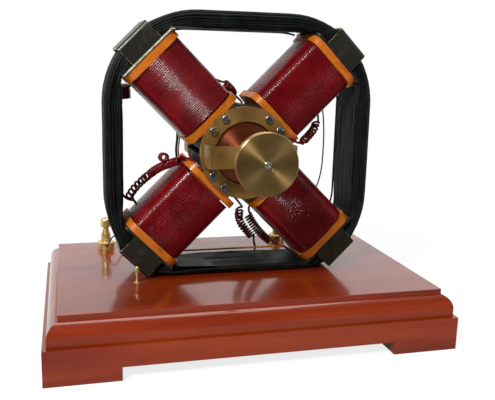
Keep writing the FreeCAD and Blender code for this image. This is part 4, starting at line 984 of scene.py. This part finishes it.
RIGHT_LEAD = [
    (69.3, WINDING_BACK, 187.0), (69.3, 28.6, 187.0), (72.4, 31.4, 183.4), (78.8, 31.4, 174.4),
    (81.4, 30.4, 162.0), (82.8, 30.0, 147.0), (83.0, 30.0, 130.3), (82.4, 30.0, 113.6),
    (79.6, 31.0, 99.4), (72.8, 31.4, 90.0), (69.3, 28.6, 86.4), (69.3, WINDING_BACK, 86.4)]
TERMINAL_LEAD = [
    (-96.0, 61.33, 46.7), (-96.0, 55.6, 46.7), (-93.6, 54.8, 51.4), (-90.8, 55.2, 56.6),
    (-87.0, 55.8, 54.4), (-85.2, 54.6, 48.6), (-80.4, 51.0, 45.4), (-72.0, 46.0, 44.6),
    (-60.0, 39.0, 44.6), (-52.0, 32.0, 44.7), (-46.0, 27.0, 46.0)]
AMBER_LEAD = [
    (-49.4, WINDING_BACK, 158.2), (-49.4, 28.4, 158.2), (-44.0, 30.6, 154.4),
    (-39.0, 31.6, 147.6), (-39.4, 30.0, 139.4), (-40.6, 29.6, 131.6), (-39.4, 30.4, 124.0),
    (-41.4, 31.0, 118.6), (-49.4, 28.4, 114.6), (-49.4, WINDING_BACK, 114.6)]


def route_place(points, share):
    """Smooth place and way at a share of a route."""
    last = len(points) - 1
    row = min(int(share * last), last - 1)
    part = share * last - row
    before = points[row - 1] if row else points[0] * 2 - points[1]
    start, finish = points[row], points[row + 1]
    after = points[row + 2] if row + 2 <= last else finish * 2 - start
    way_in, way_out = (finish - before) * 0.5, (after - start) * 0.5
    square, cube = part ** 2, part ** 3
    place = (start * (2 * cube - 3 * square + 1) + way_in * (cube - 2 * square + part)
             + finish * (3 * square - 2 * cube) + way_out * (cube - square))
    way = (start * (6 * square - 6 * part) + way_in * (3 * square - 4 * part + 1)
           + finish * (6 * part - 6 * square) + way_out * (3 * square - 2 * part))
    return place, way.normalized()


def plain_line(route):
    return [Vector(point) * MM for point in route]


def curl_line(full_radius, route, curls, radius_share, start_turn, slant=0.0):
    """Points of a curl that winds round a route, its loops slanted."""
    points = plain_line(route)
    radius = full_radius * radius_share
    count = curls * CURL_STEPS
    row_step, turn_step = CURL_SEED_STEPS
    line = []
    for row in range(count + 1):
        middle, along = route_place(points, row / count)
        level = (Vector((0, 1, 0)) - along * along.y).normalized()
        cross = along.cross(level)
        level = level + along * slant
        angle = 2 * math.pi * (row / CURL_STEPS + start_turn)
        seed = Vector((row * row_step, start_turn * turn_step, curls))
        uneven = 1 + CURL_UNEVEN * noise.noise(seed)
        line.append(middle + (level * math.cos(angle) + cross * math.sin(angle)) * radius * uneven)
    return line


def arm_face(arm, reach, side, depth, away):
    """A place off the flat side of a winding."""
    angle = math.radians(ARMS[arm])
    off = (WINDING_FACE + away) * side
    x = reach * math.sin(angle) + off * math.cos(angle)
    z = reach * math.cos(angle) - off * math.sin(angle)
    return Vector((x * MM, depth * MM, SHAFT_Z + z * MM))


def ring_place(angle, depth, away):
    """A place off a ring's rim."""
    reach = (RING_RIM + away) * MM
    turn = math.radians(angle)
    return Vector((reach * math.cos(turn), depth * MM, SHAFT_Z + reach * math.sin(turn)))


def board_place(x, y, away):
    return Vector((x * MM, y * MM, BOARD_TOP + (BOARD_GAP + away) * MM))


MEETINGS = {"face": arm_face, "ring": ring_place, "board": board_place}


def lead_line(parts):
    """A lead's points: its curls, its plain runs, and each end square to what it meets."""
    radii = {"curl": sizes().curl_radius, "loop": sizes().loop_radius}
    line = []
    for kind, *facts in parts:
        if kind in radii:
            line += curl_line(radii[kind], *facts)
        elif kind == "plain":
            line += plain_line(*facts)
        else:
            place_at = MEETINGS[kind]
            ends = [place_at(*facts, 0.0), place_at(*facts, STUB_LENGTH)]
            line += ends[::-1] if line else ends
    return line


class MOTOR_OT_curly_leads(bpy.types.Operator):
    """Curly ends of the windings' own wire"""
    bl_idname = "motor.curly_leads"
    bl_label = "Curly leads"

    def execute(self, context):
        for name, leads in CURLY_LEADS.items():
            lines = [lead_line(parts) for parts in leads]
            lead = wire_piece(name + "_wire", lines, sizes().curl_wire, sides=12)
            finish_as(lead, [shellacked_wire("loose")], FRAME_BODY, "shellac_red", name)
        return {"FINISHED"}


class MOTOR_OT_plain_leads(bpy.types.Operator):
    """Black leads between the windings and to a binding post, and the amber strand"""
    bl_idname = "motor.plain_leads"
    bl_label = "Plain leads"

    def execute(self, context):
        size = sizes()
        thick = wire_piece("lead_left", [plain_line(LEFT_LEAD)], size.black_lead, sides=12)
        thin = wire_piece("leads_thin", [plain_line(RIGHT_LEAD), plain_line(TERMINAL_LEAD)],
                          size.thin_lead, sides=12)
        pick(thin, thick)
        bpy.ops.object.join()
        finish_as(thick, [braided_lead("black_lead")], FRAME_BODY, "lead_black", "black_leads")
        strand = wire_piece("amber_strand", [plain_line(AMBER_LEAD)], size.thin_lead, sides=12)
        finish_as(strand, [braided_lead("amber_lead")], FRAME_BODY, "amber_wire", "copper_lead")
        return {"FINISHED"}


# stage, lamps and camera
WHITE = (1.0, 1.0, 1.0, 1.0)
FLOOR_PALE = (0.86, 0.86, 0.86, 1.0)
FLOOR_SIZE = 8.0
FLOOR_DROP = 0.2 * MM
LAMPS = (
    ("key_upper_left", (-0.75, -0.85, 0.95), (0, 0, 0.13), 0.24, 0.24, 28),
    ("soft_top", (0.1, 0.2, 1.3), (0, 0, 0.1), 0.9, 0.7, 8),
    ("low_right", (0.9, -0.8, 0.45), (0, 0, 0.12), 0.3, 0.3, 1.2))
CAMERA_PLACE = (-126.1, -496.9, 203.9)
CAMERA_YAW, CAMERA_PITCH, CAMERA_ROLL = 15.290, 11.880, 1.530
FOCAL_PIXELS = 671.04
SENSOR_WIDTH = 36.0
NEAR_CLIP = 0.01


def add_lamp(name, place, target, width, height, power):
    bpy.ops.object.light_add(type="AREA", location=place)
    lamp = bpy.context.object
    lamp.name = name
    lamp.data.shape = "RECTANGLE"
    lamp.data.size = width
    lamp.data.size_y = height
    lamp.data.energy = power
    lamp.rotation_euler = (Vector(target) - Vector(place)).to_track_quat("-Z", "Y").to_euler()


def add_camera():
    place = Vector(CAMERA_PLACE) * MM
    yaw, pitch, roll = (math.radians(angle) for angle in (CAMERA_YAW, CAMERA_PITCH, CAMERA_ROLL))
    forward = Vector((math.sin(yaw) * math.cos(pitch), math.cos(yaw) * math.cos(pitch),
                      -math.sin(pitch)))
    level = Vector((math.cos(yaw), -math.sin(yaw), 0))
    upright = level.cross(forward)
    right = level * math.cos(roll) + upright * math.sin(roll)
    up = upright * math.cos(roll) - level * math.sin(roll)
    bpy.ops.object.camera_add()
    camera = bpy.context.object
    camera.name = "photo_camera"
    turn = Matrix((right, up, -forward)).transposed().to_4x4()
    camera.matrix_world = Matrix.Translation(place) @ turn
    camera.data.sensor_fit = "HORIZONTAL"
    camera.data.sensor_width = SENSOR_WIDTH
    camera.data.lens = FOCAL_PIXELS / PICTURE_WIDTH * SENSOR_WIDTH
    camera.data.clip_start = NEAR_CLIP
    bpy.context.scene.camera = camera


def choose(tree, share, first, second):
    """The first value where the share is none, the second where it is full."""
    return add_node(tree, "ShaderNodeMix", {0: share, 2: first, 3: second},
                    data_type="FLOAT").outputs[0]


def combine(tree, operation, first, second):
    return add_node(tree, "ShaderNodeMath", {0: first, 1: second}, operation=operation).outputs[0]


def depth_of(tree, place):
    return add_node(tree, "ShaderNodeSeparateXYZ", {"Vector": place}).outputs["Y"]


def light_world():
    """White to the camera; a room that is bright behind the object and dim in front of it."""
    world = bpy.data.worlds.new("studio")
    bpy.context.scene.world = world
    world.use_nodes = True
    tree = world.node_tree
    tree.nodes.clear()
    way = add_node(tree, "ShaderNodeTexCoord").outputs["Generated"]
    depth = rescale(tree, depth_of(tree, way), -0.35, 0.5, 0.06, 1.0)
    path = add_node(tree, "ShaderNodeLightPath").outputs
    seen = combine(tree, "MAXIMUM", path["Is Camera Ray"], path["Is Transmission Ray"])
    room = choose(tree, path["Is Glossy Ray"], 0.5, depth)
    light = add_node(tree, "ShaderNodeBackground", {
        "Color": WHITE, "Strength": choose(tree, seen, room, 1.0)})
    add_node(tree, "ShaderNodeOutputWorld", {"Surface": light.outputs[0]})


def floor_finish():
    """Pale floor that the camera sees as near white, with the object's soft shadow."""
    material, tree, place = start_material("pale_floor")
    path = add_node(tree, "ShaderNodeLightPath").outputs
    matt = add_node(tree, "ShaderNodeBsdfDiffuse", {"Color": FLOOR_PALE})
    behind = rescale(tree, depth_of(tree, place), -0.12, 0.1, 0.05, 1.0)
    glow = add_node(tree, "ShaderNodeEmission", {
        "Color": WHITE, "Strength": choose(tree, path["Is Glossy Ray"], 1.0, behind)})
    seen = combine(tree, "MAXIMUM", path["Is Camera Ray"], path["Is Glossy Ray"])
    away = add_node(tree, "ShaderNodeVectorMath", {0: place}, operation="LENGTH")
    clear = rescale(tree, away.outputs["Value"], 0.16, 0.42, 0.8, 1.0,
                    interpolation_type="SMOOTHSTEP")
    share = combine(tree, "MULTIPLY", seen, clear)
    both = add_node(tree, "ShaderNodeMixShader", {
        0: share, 1: matt.outputs[0], 2: glow.outputs[0]})
    add_node(tree, "ShaderNodeOutputMaterial", {"Surface": both.outputs[0]})
    return material


class MOTOR_OT_stage(bpy.types.Operator):
    """Pale floor, soft lamps, white surround and the camera"""
    bl_idname = "motor.stage"
    bl_label = "Stage"

    def execute(self, context):
        bpy.ops.mesh.primitive_plane_add(size=FLOOR_SIZE, location=(0, 0, -FLOOR_DROP))
        floor = named("floor")
        apply_all(floor)
        floor.data.materials.append(floor_finish())
        light_world()
        for lamp in LAMPS:
            add_lamp(*lamp)
        add_camera()
        context.scene.view_settings.view_transform = "Standard"
        return {"FINISHED"}


class MOTOR_PT_pieces(bpy.types.Panel):
    """The motor's pieces, sizes and colours"""
    bl_idname = "MOTOR_PT_pieces"
    bl_label = "Demonstration motor"
    bl_space_type = "VIEW_3D"
    bl_region_type = "UI"
    bl_category = "Motor"

    def draw(self, context):
        for operator in OPERATORS:
            self.layout.operator(operator.bl_idname)
        for group in (context.scene.motor_sizes, context.scene.motor_colours):
            box = self.layout.box()
            for name in group.__annotations__:
                box.prop(group, name)


OPERATORS = (MOTOR_OT_base, MOTOR_OT_windings, MOTOR_OT_bobbins, MOTOR_OT_yoke, MOTOR_OT_straps,
             MOTOR_OT_hub, MOTOR_OT_rotor, MOTOR_OT_terminals, MOTOR_OT_curly_leads,
             MOTOR_OT_plain_leads, MOTOR_OT_stage)
CLASSES = (MotorSizes, MotorColours, *OPERATORS, MOTOR_PT_pieces)


def register():
    for group in CLASSES:
        bpy.utils.register_class(group)
    bpy.types.Scene.motor_sizes = bpy.props.PointerProperty(type=MotorSizes)
    bpy.types.Scene.motor_colours = bpy.props.PointerProperty(type=MotorColours)


def unregister():
    del bpy.types.Scene.motor_colours
    del bpy.types.Scene.motor_sizes
    for group in reversed(CLASSES):
        bpy.utils.unregister_class(group)


def main():
    register()
    deselect_all()
    bpy.ops.motor.base()
    bpy.ops.motor.windings()
    bpy.ops.motor.bobbins()
    bpy.ops.motor.yoke()
    bpy.ops.motor.straps()
    bpy.ops.motor.hub()
    bpy.ops.motor.rotor()
    bpy.ops.motor.terminals()
    bpy.ops.motor.curly_leads()
    bpy.ops.motor.plain_leads()
    bpy.ops.motor.stage()
    deselect_all()


if __name__ == "__main__":
    main()
